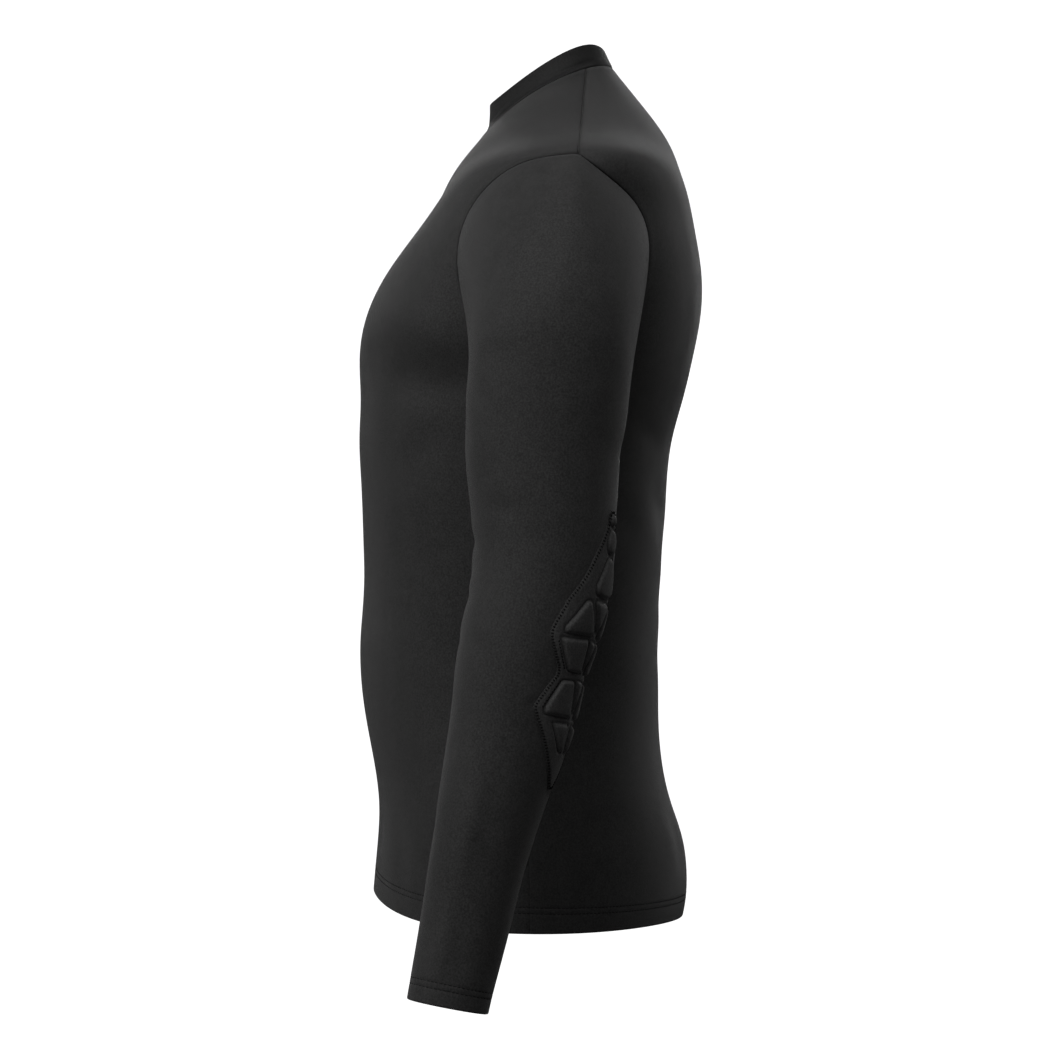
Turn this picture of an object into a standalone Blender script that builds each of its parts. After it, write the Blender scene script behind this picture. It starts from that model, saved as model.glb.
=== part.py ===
"""A long-sleeved compression shirt with padded elbows, in the hollow form it keeps when it is worn.

Metres, +Z up. The wearer faces -Y, and the wearer's left is +X. The origin is the middle of the neck opening,
level with the shoulders, where a wearer's neck and shoulders hold the shirt up. Tables are in millimetres.
"""

import bmesh
import bpy
import numpy as np

MM = 0.001

CLOTH = 1.5 * MM
HEM_CLOTH = 2.6 * MM
COLLAR_CLOTH = 2.2 * MM
SEAM_GAP = 0.3 * MM
HEM_DEPTH = 20 * MM
CUFF_HEM_DEPTH = 16 * MM
FOLD_STEP = 2 * MM

HALF_PANEL_COLUMNS = 8
SIDE_SEAM_ROWS = 17
ARMHOLE_STEPS = 12
SHOULDER_ROWS = 5
SLEEVE_TUBE_ROWS = 21

# Each row is one closed ring of the body, from the hem edge up to the collar seam. A ring is an oval about the
# vertical line through side_y, and its height runs from front_z through side_z to back_z. Sway is how much more
# it dips between the front and the side, and rises between the side and the back.
TORSO_COLUMNS = ("front_y", "back_y", "half_width", "side_y", "front_z", "side_z", "back_z", "sway", "squareness")
TORSO_SECTIONS = (
    (-141.0, 106.0, 172.0, -16.0, -634.5, -653.0, -654.5, 7.5, 2.1),
    (-139.0, 109.0, 171.5, -16.0, -612.0, -629.0, -632.0, 5.0, 2.15),
    (-137.2, 106.4, 169.0, -17.0, -592.0, -596.0, -597.0, 2.0, 2.2),
    (-136.4, 96.2, 164.0, -21.0, -564.0, -564.0, -564.0, 0.0, 2.25),
    (-140.4, 89.2, 158.0, -26.0, -532.0, -532.0, -532.0, 0.0, 2.25),
    (-146.4, 86.6, 152.5, -30.0, -500.0, -500.0, -500.0, 0.0, 2.25),
    (-150.6, 86.4, 149.0, -32.0, -468.0, -468.0, -468.0, 0.0, 2.25),
    (-151.2, 86.2, 148.0, -32.0, -436.0, -436.0, -436.0, 0.0, 2.25),
    (-149.0, 87.6, 149.5, -31.0, -404.0, -404.0, -404.0, 0.0, 2.25),
    (-149.0, 90.2, 153.5, -29.0, -356.0, -356.0, -356.0, 0.0, 2.3),
    (-150.6, 93.0, 160.0, -25.0, -310.0, -310.0, -310.0, 0.0, 2.35),
    (-152.0, 97.2, 166.0, -19.0, -276.0, -276.0, -276.0, 0.0, 2.4),
    (-151.0, 105.8, 172.0, -11.0, -244.0, -247.0, -244.0, 0.0, 2.4),
    (-151.8, 113.6, 177.0, -4.0, -212.0, -220.0, -211.0, 0.0, 2.4),
    (-146.6, 119.6, 184.0, 2.0, -180.0, -176.0, -176.0, 0.0, 2.4),
    (-131.4, 120.2, 191.0, 9.0, -148.0, -132.0, -144.0, 0.0, 2.3),
    (-110.2, 116.4, 196.0, 15.0, -120.0, -96.0, -118.0, 0.0, 2.15),
    (-93.6, 111.4, 195.0, 20.0, -98.0, -66.2, -92.0, 0.0, 2.0),
    (-85.6, 104.8, 153.0, 18.0, -80.5, -46.0, -66.0, 0.0, 1.92),
    (-77.0, 94.2, 115.0, 14.0, -64.0, -27.0, -39.0, 0.0, 1.92),
    (-66.0, 73.0, 85.0, 9.0, -49.5, -9.0, -9.0, 1.0, 1.96),
    (-54.4, 50.4, 64.5, 4.0, -35.2, 4.5, 19.4, 4.2, 2.0),
)
UNDERARM_RING = 13
SHOULDER_RING = 17
NECK_RING = len(TORSO_SECTIONS) - 1
SHOULDER_SEAM_Y = (20, 28.3)

# The armhole as it is seen from the side, from the shoulder point round to the underarm.
ARMHOLE_COLUMNS = ("y", "z")
ARMHOLE_FRONT = ((20, -66.2), (-3, -68), (-26, -74), (-49, -89.5), (-64.5, -112), (-70.5, -137),
                 (-68, -163), (-56, -189), (-33, -211), (-4, -220))
ARMHOLE_BACK = ((20, -66.2), (38, -80), (56, -94), (67.5, -108), (73, -124), (73.5, -142),
                (68.5, -165), (54, -191), (29, -211), (-4, -220))

# Each row is one ring of the left sleeve, square to the arm, from just below the shoulder down to the cuff edge.
SLEEVE_COLUMNS = ("x", "y", "z", "half_width", "half_depth")
SLEEVE_SECTIONS = (
    (233.0, 1.0, -207.0, 52.0, 60.5),
    (236.0, -4.0, -261.0, 50.5, 59.4),
    (238.5, -6.4, -294.0, 49.0, 57.2),
    (241.0, -6.0, -326.0, 48.0, 54.4),
    (243.5, -6.6, -365.0, 47.0, 51.2),
    (246.5, -13.0, -405.0, 46.4, 49.8),
    (249.5, -23.0, -443.5, 44.4, 47.0),
    (252.5, -30.0, -483.5, 41.5, 44.2),
    (257.0, -40.6, -531.0, 37.5, 40.4),
    (262.5, -52.4, -580.0, 32.5, 35.8),
    (267.0, -62.6, -631.0, 28.5, 33.0),
    (271.5, -71.4, -672.0, 26.0, 31.0),
    (273.5, -76.0, -694.6, 25.4, 30.2),
)
SLEEVE_SQUARENESS = 2.1
CAP_STEPS = (0.0, 0.1, 0.24, 0.42, 0.62, 0.82, 1.0)
CAP_DROP_AT_UNDERARM = 1.1
CAP_FULLNESS = 1.0
SHOULDER_SLOPE = np.radians(30)
UNDERARM_SLOPE = np.radians(8)

# The collar stands on the neck seam. Its rim is one more oval, and the profiles give how far in the band has come
# at each share of its height: in front it turns up at once, and at the back it leans in all the way.
COLLAR_RIM = (-48.2, 43.6, 56.0, -2.0, -8.0, 20.3, 34.6, 12.6, 2.0)
COLLAR_HEIGHTS = (0.0, 0.14, 0.38, 0.7, 1.0)
COLLAR_INWARD_FRONT = (0.0, 0.5, 0.9, 1.0, 1.0)
COLLAR_INWARD_BACK = (0.0, 0.1, 0.34, 0.68, 1.0)

# The elbow pad, laid out flat: one row across it for each edge or shoulder of its foam blocks, measured down from
# its top point. All widths are from its centre line. A rise of 1 is a block's full height, and 0 a sewn channel.
PAD_COLUMNS = ("down", "outline", "side_outer", "side_inner", "centre_edge", "centre_rise", "side_rise")
PAD_ROWS = (
    (0.0, 2.5, 1.9, 1.3, 0.7, 0.0, 0.0),
    (2.2, 4.4, 3.7, 3.2, 2.6, 0.0, 0.0),
    (6.8, 6.0, 5.3, 4.6, 3.9, 0.7, 0.0),
    (11.2, 7.0, 5.4, 3.8, 2.4, 0.0, 0.0),
    (13.0, 7.8, 5.8, 4.0, 2.0, 0.0, 0.0),
    (22.0, 12.6, 10.2, 7.9, 5.6, 0.9, 0.0),
    (28.6, 16.6, 11.8, 7.0, 2.4, 0.0, 0.0),
    (31.0, 18.0, 12.8, 7.5, 2.2, 0.0, 0.0),
    (41.0, 23.0, 18.5, 13.9, 9.4, 1.0, 0.0),
    (50.5, 28.5, 23.3, 18.2, 13.0, 1.0, 0.0),
    (56.0, 32.0, 23.0, 14.6, 6.5, 0.0, 0.0),
    (59.2, 33.8, 22.0, 16.5, 11.4, 0.0, 0.0),
    (62.5, 35.8, 23.5, 13.8, 10.6, 1.0, 1.0),
    (78.8, 41.0, 32.0, 4.2, 1.2, 0.6, 1.0),
    (82.6, 41.6, 33.2, 3.2, 1.0, 0.0, 0.0),
    (86.0, 41.6, 33.6, 2.8, 1.0, 0.0, 0.0),
    (89.2, 40.8, 32.4, 2.8, 1.0, 0.0, 1.0),
    (108.6, 28.0, 20.6, 2.8, 1.0, 0.0, 1.0),
    (112.2, 26.6, 17.6, 3.4, 1.0, 0.0, 0.0),
    (117.4, 26.2, 17.8, 9.8, 7.6, 0.0, 0.0),
    (121.0, 28.0, 20.8, 9.0, 6.6, 1.0, 1.0),
    (141.0, 37.2, 31.2, 2.6, 1.0, 0.4, 1.0),
    (144.8, 37.0, 32.4, 2.6, 1.0, 0.0, 0.0),
    (149.6, 34.0, 21.0, 2.6, 1.0, 0.0, 0.0),
    (153.0, 31.6, 19.0, 2.8, 1.0, 0.0, 1.0),
    (165.5, 23.0, 9.6, 4.4, 1.0, 0.0, 0.8),
    (170.5, 19.6, 6.2, 3.4, 1.0, 0.0, 0.0),
    (184.0, 11.0, 7.4, 4.2, 2.0, 0.0, 0.0),
    (198.0, 2.5, 1.9, 1.3, 0.7, 0.0, 0.0),
)
PAD_TOP = 129 * MM
PAD_TURN = np.radians(20.5)
PAD_CLEARANCE = 1.1 * MM
PAD_CLOTH = 1.0 * MM
PAD_BLOCK_HEIGHT = 2.4 * MM
PAD_SHOULDER = 2.4 * MM

CLOTH_COLOUR = (0.030, 0.030, 0.031, 1.0)
PAD_COLOUR = (0.026, 0.026, 0.027, 1.0)
CLOTH_ROUGHNESS = 0.62


def clear_scene():
    """Removes whatever the scene holds."""
    for thing in list(bpy.data.objects):
        bpy.data.objects.remove(thing, do_unlink=True)


def unit(vectors):
    """The vectors, each made one long."""
    return vectors / np.linalg.norm(vectors, axis=-1, keepdims=True)


def spline(table, place):
    """A smooth curve through the table's rows, read at place, where 0 is the first row and 1 the next.

    It is a natural cubic spline, so its slope and its bend both change smoothly.
    """
    rows = np.asarray(table, float)
    last = len(rows) - 1
    system = np.eye(last + 1)
    bends = np.zeros_like(rows)
    for row in range(1, last):
        system[row, row - 1:row + 2] = (1, 4, 1)
        bends[row] = 6 * (rows[row - 1] - 2 * rows[row] + rows[row + 1])
    bends = np.linalg.solve(system, bends)
    place = np.asarray(place, float)
    low = np.clip(np.floor(place).astype(int), 0, last - 1)
    after = (place - low)[..., None]
    before = 1 - after
    return (before * rows[low] + after * rows[low + 1]
            + ((before**3 - before) * bends[low] + (after**3 - after) * bends[low + 1]) / 6)


def read(table, columns, place):
    """The named columns of a table in millimetres, read at place along its rows, in metres."""
    values = spline(table, place)
    return {name: values[..., index] * MM for index, name in enumerate(columns)}


def oval(angle, first, second, squareness):
    """The two coordinates of an oval at an angle: second is its half-size where the angle is 0, and first at 90."""
    across, along = np.sin(angle), np.cos(angle)
    radius = (np.abs(along / second) ** squareness + np.abs(across / first) ** squareness) ** (-1 / squareness)
    return radius * across, radius * along


def body_ring(ring, angle):
    """A point of a ring of the body or collar. The angle is 0 at centre front, 90 at the left, 180 at centre back."""
    forward = np.cos(angle) > 0
    depth = np.where(forward, ring["side_y"] - ring["front_y"], ring["back_y"] - ring["side_y"])
    x, towards_front = oval(angle, ring["half_width"], depth, ring["squareness"] / MM)
    tilt = (ring["front_z"] - ring["back_z"]) / 2
    arch = (ring["front_z"] + ring["back_z"]) / 2 - ring["side_z"]
    share = np.cos(angle)
    z = ring["side_z"] + tilt * share + arch * share**2 + ring["sway"] * (share**3 - share)
    return np.stack([x, ring["side_y"] - towards_front, z], axis=-1)


def torso(angle, ring):
    """The body's outer surface at an angle round the body and a place among the rings."""
    return body_ring(read(TORSO_SECTIONS, TORSO_COLUMNS, ring), angle)


def collar(angle, height):
    """The collar's outer surface: the neck seam carried up and in to the rim."""
    seam = torso(angle, np.full(np.shape(angle), float(NECK_RING)))
    rim = body_ring(read([COLLAR_RIM, COLLAR_RIM], TORSO_COLUMNS, np.zeros(np.shape(angle))), angle)
    inward_front = np.interp(height, COLLAR_HEIGHTS, COLLAR_INWARD_FRONT)
    inward_back = np.interp(height, COLLAR_HEIGHTS, COLLAR_INWARD_BACK)
    inward = (inward_back + (inward_front - inward_back) * (1 + np.cos(angle)) / 2)[..., None]
    flat = seam + (rim - seam) * inward
    flat[..., 2] = seam[..., 2] + (rim - seam)[..., 2] * height
    return flat


def normals_of(surface, first, second, step=0.01):
    """Unit normals of a surface of two parameters, from its slopes along each, pointing along first x second."""
    along_first = surface(first + step, second) - surface(first - step, second)
    along_second = surface(first, second + step) - surface(first, second - step)
    return unit(np.cross(along_first, along_second))


def armhole_side_view(around):
    """The armhole's y and z at a share of the way round: 0 the shoulder point, 0.5 the underarm, by the front."""
    around = np.asarray(around, float) % 1.0
    found = []
    for table in (ARMHOLE_FRONT, ARMHOLE_BACK):
        share = np.where(around <= 0.5, around, 1 - around) * 2
        fine = spline(table, np.linspace(0, len(table) - 1, 400))
        walked = np.concatenate([[0], np.cumsum(np.linalg.norm(np.diff(fine, axis=0), axis=1))])
        reached = np.interp(share * walked[-1], walked, np.linspace(0, len(table) - 1, 400))
        found.append(spline(table, reached) * MM)
    return np.where((around <= 0.5)[..., None], *found)


def armhole_on_torso(around):
    """Where the armhole lies on the body's rings, as (angle, ring), by Newton's method from its side view."""
    target = armhole_side_view(around)
    ring = np.interp(target[..., 1], np.array([-220, -66]) * MM, (UNDERARM_RING, SHOULDER_RING))
    angle = np.pi / 2 + target[..., 0] / (150 * MM) * 0.6
    step = 1e-4
    for _ in range(30):
        miss = torso(angle, ring)[..., 1:] - target
        by_angle = (torso(angle + step, ring)[..., 1:] - torso(angle - step, ring)[..., 1:]) / (2 * step)
        by_ring = (torso(angle, ring + step)[..., 1:] - torso(angle, ring - step)[..., 1:]) / (2 * step)
        spread = by_angle[..., 0] * by_ring[..., 1] - by_angle[..., 1] * by_ring[..., 0]
        angle = angle - (miss[..., 0] * by_ring[..., 1] - miss[..., 1] * by_ring[..., 0]) / spread * 0.7
        ring = ring - (by_angle[..., 0] * miss[..., 1] - by_angle[..., 1] * miss[..., 0]) / spread * 0.7
    return angle, ring


def mitre(along, panel_normal, leaving):
    """How two pieces meet at a fold: the direction across the seam, and the shared normal that both edges follow.

    The shared normal is lengthened so that neither wall gets thinner at the fold.
    """
    along = unit(along)
    leaving = unit(leaving - along * np.sum(leaving * along, axis=-1, keepdims=True))
    arriving = unit(np.cross(along, panel_normal))
    arriving *= np.sign(np.sum(arriving * leaving, axis=-1, keepdims=True))
    next_normal = unit(np.cross(along, leaving))
    next_normal *= np.sign(np.sum(next_normal * np.cross(along, arriving), axis=-1, keepdims=True)
                           * np.sum(panel_normal * np.cross(along, arriving), axis=-1, keepdims=True))
    shared = unit(panel_normal + next_normal)
    thinning = np.clip(np.sum(shared * panel_normal, axis=-1, keepdims=True), 0.7, 1)
    return unit(arriving + leaving), shared / thinning


def sleeve_leaving(around):
    """The direction in which the sleeve leaves the armhole: down the shoulder's slope, and flatter at the underarm."""
    low = (1 - np.cos(2 * np.pi * np.asarray(around))) / 2
    slope = SHOULDER_SLOPE + (UNDERARM_SLOPE - SHOULDER_SLOPE) * low**2
    return np.stack([np.cos(slope), np.zeros_like(slope), -np.sin(slope)], axis=-1)


def sleeve_tube(around, place):
    """The sleeve below its cap: rings square to the arm. Around is 0 outside, 0.25 in front, 0.5 next the body."""
    ring = read(SLEEVE_SECTIONS, SLEEVE_COLUMNS, place)
    centre = np.stack([ring["x"], ring["y"], ring["z"]], axis=-1)
    step = 0.01
    axis = unit((spline(SLEEVE_SECTIONS, place + step) - spline(SLEEVE_SECTIONS, place - step))[..., :3])
    sideways = np.array([1.0, 0.0, 0.0]) - axis * axis[..., :1]
    sideways = unit(sideways)
    backwards = np.cross(sideways, axis)
    forward, outward = oval(2 * np.pi * around, ring["half_depth"], ring["half_width"], SLEEVE_SQUARENESS)
    return centre + sideways * outward[..., None] - backwards * forward[..., None]


def sleeve_start(around):
    """The place on the tube where the cap ends: lower next to the body than outside."""
    return CAP_DROP_AT_UNDERARM * (1 - np.cos(2 * np.pi * np.asarray(around))) / 2


def sleeve_cap(around, share):
    """The sleeve's cap: a smooth (Hermite) curve from each point of the armhole to the top of the tube."""
    share = np.asarray(share, float)[..., None]
    top = torso(*armhole_on_torso(around))
    start = sleeve_start(around)
    bottom = sleeve_tube(around, start)
    reach = np.linalg.norm(bottom - top, axis=-1, keepdims=True) * CAP_FULLNESS
    leave = sleeve_leaving(around) * reach
    arrive = unit(sleeve_tube(around, start + 0.01) - sleeve_tube(around, start)) * reach
    return ((2 * share**3 - 3 * share**2 + 1) * top + (share**3 - 2 * share**2 + share) * leave
            + (3 * share**2 - 2 * share**3) * bottom + (share**3 - share**2) * arrive)


def sleeve_lengths(start):
    """Distances down the arm from start, and the places on the tube that they belong to."""
    places = np.linspace(start, len(SLEEVE_SECTIONS) - 1, 300)
    centres = spline(SLEEVE_SECTIONS, places)[:, :3] * MM
    return np.concatenate([[0], np.cumsum(np.linalg.norm(np.diff(centres, axis=0), axis=1))]), places


def triangles_between(points, rows):
    """Two triangles for each cell of a grid of point numbers, cut along its shorter diagonal."""
    a, b = rows[:-1, :-1].ravel(), rows[:-1, 1:].ravel()
    c, d = rows[1:, 1:].ravel(), rows[1:, :-1].ravel()
    first = np.linalg.norm(points[a] - points[c], axis=1) <= np.linalg.norm(points[b] - points[d], axis=1)
    one = np.where(first[:, None], np.stack([a, b, c], 1), np.stack([a, b, d], 1))
    two = np.where(first[:, None], np.stack([a, c, d], 1), np.stack([b, c, d], 1))
    return np.concatenate([one, two])


def add_wall(name, outer, inner, closed, material, collection):
    """One piece of cloth as a closed wall, lofted between two matching grids of points.

    The two faces are cut along the same diagonals, so that a thin wall never crosses itself.
    """
    rows, columns = outer.shape[:2]
    numbers = np.arange(rows * columns).reshape(rows, columns)
    if closed:
        numbers = np.concatenate([numbers, numbers[:, :1]], axis=1)
    points = np.concatenate([outer.reshape(-1, 3), inner.reshape(-1, 3)])
    beneath = rows * columns
    faces = triangles_between(points, numbers)
    faces = [faces, faces[:, ::-1] + beneath]
    edges = [numbers[0], numbers[-1][::-1]]
    if not closed:
        edges += [numbers[:, -1], numbers[::-1, 0]]
    for edge in edges:
        rim = np.stack([edge, edge + beneath])
        faces.append(triangles_between(points, rim))
    mesh = bpy.data.meshes.new(name)
    mesh.from_pydata(points.tolist(), [], np.concatenate(faces).tolist())
    work = bmesh.new()
    work.from_mesh(mesh)
    bmesh.ops.recalc_face_normals(work, faces=work.faces)
    if work.calc_volume(signed=True) < 0:
        bmesh.ops.reverse_faces(work, faces=work.faces)
    work.to_mesh(mesh)
    work.free()
    mesh.shade_smooth()
    mesh.set_sharp_from_angle(angle=np.radians(50))
    mesh.materials.append(material)
    piece = bpy.data.objects.new(name, mesh)
    collection.objects.link(piece)
    return piece


def add_material(name, colour):
    """Plain dyed cloth."""
    material = bpy.data.materials.new(name)
    material.use_nodes = True
    shader = material.node_tree.nodes["Principled BSDF"]
    shader.inputs["Base Color"].default_value = colour
    shader.inputs["Roughness"].default_value = CLOTH_ROUGHNESS
    shader.inputs["Metallic"].default_value = 0.0
    return material


def panel_edge(at_back):
    """The left edge of the front or back panel, from the hem to the neck, as (angle, ring) at each row.

    It runs up the side seam, round its half of the armhole, and in along the shoulder seam.
    """
    hem_line = hem_place(HEM_DEPTH)
    side = np.concatenate([[0, hem_line, hem_place(HEM_DEPTH + FOLD_STEP)],
                           np.linspace(hem_line, UNDERARM_RING, SIDE_SEAM_ROWS)[1:-1]])
    share = np.linspace(0.5, 0, ARMHOLE_STEPS + 1)
    hole_angle, hole_ring = armhole_on_torso(1 - share if at_back else share)
    hole_angle[[0, -1]] = np.pi / 2
    hole_ring[[0, -1]] = UNDERARM_RING, SHOULDER_RING
    shoulder = np.linspace(SHOULDER_RING, NECK_RING, SHOULDER_ROWS + 1)[1:]
    angle = np.concatenate([np.full(len(side), np.pi / 2), hole_angle, shoulder_seam_angle(shoulder)])
    return angle, np.concatenate([side, hole_ring, shoulder]), len(side)


def hem_place(height):
    """The place among the rings that lies this far above the hem edge at the side."""
    places = np.linspace(0, 3, 200)
    heights = torso(np.full(200, np.pi / 2), places)[:, 2]
    return np.interp(heights[0] + height, heights, places)


def shoulder_seam_angle(ring):
    """The angle of the shoulder seam on each ring: seen from the side, it runs straight up to the neck."""
    seam_y = np.interp(ring, (SHOULDER_RING, NECK_RING), SHOULDER_SEAM_Y) * MM
    angles = np.linspace(np.radians(60), np.radians(150), 400)
    found = [np.interp(y, torso(angles, np.full(400, place))[:, 1], angles) for place, y in zip(ring, seam_y)]
    return np.array(found)


def panel_grid(at_back):
    """Angles and rings of a whole front or back panel, mirrored about its centre line."""
    edge_angle, edge_ring, armhole_row = panel_edge(at_back)
    centre_ring = edge_ring.copy()
    centre_ring[armhole_row:armhole_row + ARMHOLE_STEPS + 1] = np.linspace(
        UNDERARM_RING, SHOULDER_RING, ARMHOLE_STEPS + 1)
    centre_angle = np.pi if at_back else 0.0
    across = np.linspace(0, 1, HALF_PANEL_COLUMNS + 1)
    half_angle = centre_angle + np.outer(edge_angle - centre_angle, across)
    half_ring = centre_ring[:, None] + np.outer(edge_ring - centre_ring, across)
    other = 2 * centre_angle - half_angle[:, :0:-1]
    return (np.concatenate([other, half_angle], axis=1),
            np.concatenate([half_ring[:, :0:-1], half_ring], axis=1), armhole_row)


def armhole_fold(around):
    """Points of the left armhole, with the direction across its seam and the normal that both edges share."""
    places = armhole_on_torso(around)
    step = 0.002
    along = torso(*armhole_on_torso(around + step)) - torso(*armhole_on_torso(around - step))
    return torso(*places), *mitre(along, torso_normal(*places), sleeve_leaving(around))


def torso_normal(angle, ring):
    """The body's outward normal."""
    return normals_of(torso, angle, ring)


def neck_fold(angle):
    """Points of the neck seam, with the direction across it and the shared normal."""
    ring = np.full(np.shape(angle), float(NECK_RING))
    along = torso(angle + 0.01, ring) - torso(angle - 0.01, ring)
    low = np.zeros(np.shape(angle))
    rise = collar(angle, low + 0.1) - collar(angle, low)
    return torso(angle, ring), *mitre(along, torso_normal(angle, ring - 0.02), rise)


def add_panel(name, at_back, material, collection):
    """The front or back panel: one wall from the hem to the neck, with an armhole and a shoulder seam each side."""
    angle, ring, armhole_row = panel_grid(at_back)
    outer = torso(angle, ring)
    thickness = np.full(outer.shape[0], CLOTH)
    thickness[:2] = HEM_CLOTH
    into_wall = torso_normal(angle, np.minimum(ring, NECK_RING - 0.02)) * thickness[:, None, None]

    share = np.linspace(0.5, 0, ARMHOLE_STEPS + 1)
    points, across, shared = armhole_fold(1 - share if at_back else share)
    rows = slice(armhole_row, armhole_row + ARMHOLE_STEPS + 1)
    flip = np.array([-1, 1, 1])
    for column, mirror in ((-1, 1), (0, flip)):
        outer[rows, column] = (points - across * SEAM_GAP / 2) * mirror
        into_wall[rows, column] = shared * CLOTH * mirror

    points, across, shared = neck_fold(angle[-1])
    outer[-1] = points - across * SEAM_GAP / 2
    into_wall[-1] = shared * CLOTH

    beside_seam = [*range(armhole_row + 1), *range(armhole_row + ARMHOLE_STEPS, len(outer))]
    for column, neighbour in ((-1, -2), (0, 1)):
        inwards = unit(outer[beside_seam, neighbour] - outer[beside_seam, column])
        outer[beside_seam, column] += inwards * SEAM_GAP / 2
    return add_wall(name, outer, outer - into_wall, False, material, collection)


def add_collar(material, collection):
    """The collar: a folded band that stands on the neck seam, one closed ring."""
    front = panel_grid(False)[0][-1]
    back = panel_grid(True)[0][-1]
    angle = np.concatenate([front, back[::-1][1:-1]])
    heights = np.array(COLLAR_HEIGHTS)
    around, up = np.meshgrid(angle, heights)
    outer = collar(around, up)
    into_wall = normals_of(collar, around, np.clip(up, 0.02, 0.98)) * COLLAR_CLOTH
    points, across, shared = neck_fold(angle)
    outer[0] = points + across * SEAM_GAP / 2
    into_wall[0] = shared * CLOTH
    return add_wall("collar", outer, outer - into_wall, True, material, collection)


def sleeve_grid():
    """Outer points of the left sleeve and the steps from them into the wall, row by row from the armhole."""
    around = np.arange(2 * ARMHOLE_STEPS) / (2 * ARMHOLE_STEPS)
    outer, into_wall = [], []
    for share in CAP_STEPS[1:]:
        level = np.full(len(around), share)
        outer.append(sleeve_cap(around, level))
        into_wall.append(normals_of(sleeve_cap, around, np.minimum(level, 0.99)) * CLOTH)
    for row in range(1, SLEEVE_TUBE_ROWS + 3):
        place = sleeve_row_place(around, row)
        thickness = HEM_CLOTH if row > SLEEVE_TUBE_ROWS else CLOTH
        outer.append(sleeve_tube(around, place))
        into_wall.append(normals_of(sleeve_tube, around, place) * thickness)
    points, across, shared = armhole_fold(around)
    outer.insert(0, points + across * SEAM_GAP / 2)
    into_wall.insert(0, shared * CLOTH)
    return np.array(outer), np.array(into_wall)


def sleeve_row_place(around, row):
    """The place on the tube of a row below the cap. The last three rows are the cuff's fold and its edge."""
    lengths, places = sleeve_lengths(0.0)
    from_edge = {SLEEVE_TUBE_ROWS: CUFF_HEM_DEPTH + FOLD_STEP, SLEEVE_TUBE_ROWS + 1: CUFF_HEM_DEPTH,
                 SLEEVE_TUBE_ROWS + 2: 0.0}
    if row in from_edge:
        return np.full(len(around), np.interp(lengths[-1] - from_edge[row], lengths, places))
    first = np.interp(sleeve_start(around), places, lengths)
    last = lengths[-1] - CUFF_HEM_DEPTH - FOLD_STEP
    return np.interp(first + (last - first) * row / SLEEVE_TUBE_ROWS, lengths, places)


def add_sleeve(name, side, material, collection):
    """One sleeve, from the armhole over its cap and down to the cuff."""
    outer, into_wall = sleeve_grid()
    mirror = np.array([side, 1, 1])
    return add_wall(name, outer * mirror, (outer - into_wall) * mirror, True, material, collection)


def pad_columns(row):
    """How far from the centre line each column of a pad's row lies, and its share of a block's height."""
    edge = min(PAD_SHOULDER, (row["side_outer"] - row["side_inner"]) / 3)
    middle = (row["side_inner"] + row["side_outer"]) / 2
    lies = [0, row["centre_edge"] * 0.65, row["centre_edge"], row["side_inner"], row["side_inner"] + edge,
            middle, row["side_outer"] - edge, row["side_outer"], row["outline"]]
    rises = [row["centre_rise"], row["centre_rise"] * 0.85, 0, 0, row["side_rise"], row["side_rise"],
             row["side_rise"], 0, 0]
    return np.array(lies), np.array(rises)


def on_elbow(across, down, height):
    """A point over the left elbow, given on the pad laid out flat, and raised above the sleeve by height."""
    lengths, places = sleeve_lengths(0.0)
    place = np.interp(PAD_TOP + down, lengths, places)
    ring = read(SLEEVE_SECTIONS, SLEEVE_COLUMNS, place)
    radius = (ring["half_width"] + ring["half_depth"]) / 2
    around = 0.75 + (PAD_TURN + across / radius) / (2 * np.pi)
    outward = normals_of(sleeve_tube, around, place)
    return sleeve_tube(around, place) + outward * height[..., None]


def add_pad(name, side, material, collection):
    """An elbow pad: a cloth panel on the sleeve, raised over each foam block and plain underneath."""
    across, down, height = [], [], []
    for values in PAD_ROWS:
        row = dict(zip(PAD_COLUMNS, values))
        row.update({key: row[key] * MM for key in PAD_COLUMNS[:5]})
        lies, rises = pad_columns(row)
        across.append(np.concatenate([-lies[:0:-1], lies]))
        height.append(np.concatenate([rises[:0:-1], rises]) * PAD_BLOCK_HEIGHT)
        down.append(np.full(2 * len(lies) - 1, row["down"]))
    across, down, height = np.array(across), np.array(down), np.array(height)
    mirror = np.array([side, 1, 1])
    under = np.full(height.shape, PAD_CLEARANCE)
    inner = on_elbow(across, down, under) * mirror
    outer = on_elbow(across, down, under + PAD_CLOTH + height) * mirror
    return add_wall(name, outer, inner, False, material, collection)


def build():
    """Makes every piece of the shirt, each its own object in one collection."""
    clear_scene()
    collection = bpy.data.collections.new("compression_shirt")
    bpy.context.scene.collection.children.link(collection)
    cloth = add_material("shirt_cloth", CLOTH_COLOUR)
    pad_cloth = add_material("pad_cloth", PAD_COLOUR)
    add_panel("front_body", False, cloth, collection)
    add_panel("back_body", True, cloth, collection)
    add_collar(cloth, collection)
    for side, word in ((1, "left"), (-1, "right")):
        add_sleeve("sleeve_" + word, side, cloth, collection)
        add_pad("elbow_pad_" + word, side, pad_cloth, collection)


build()
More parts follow.
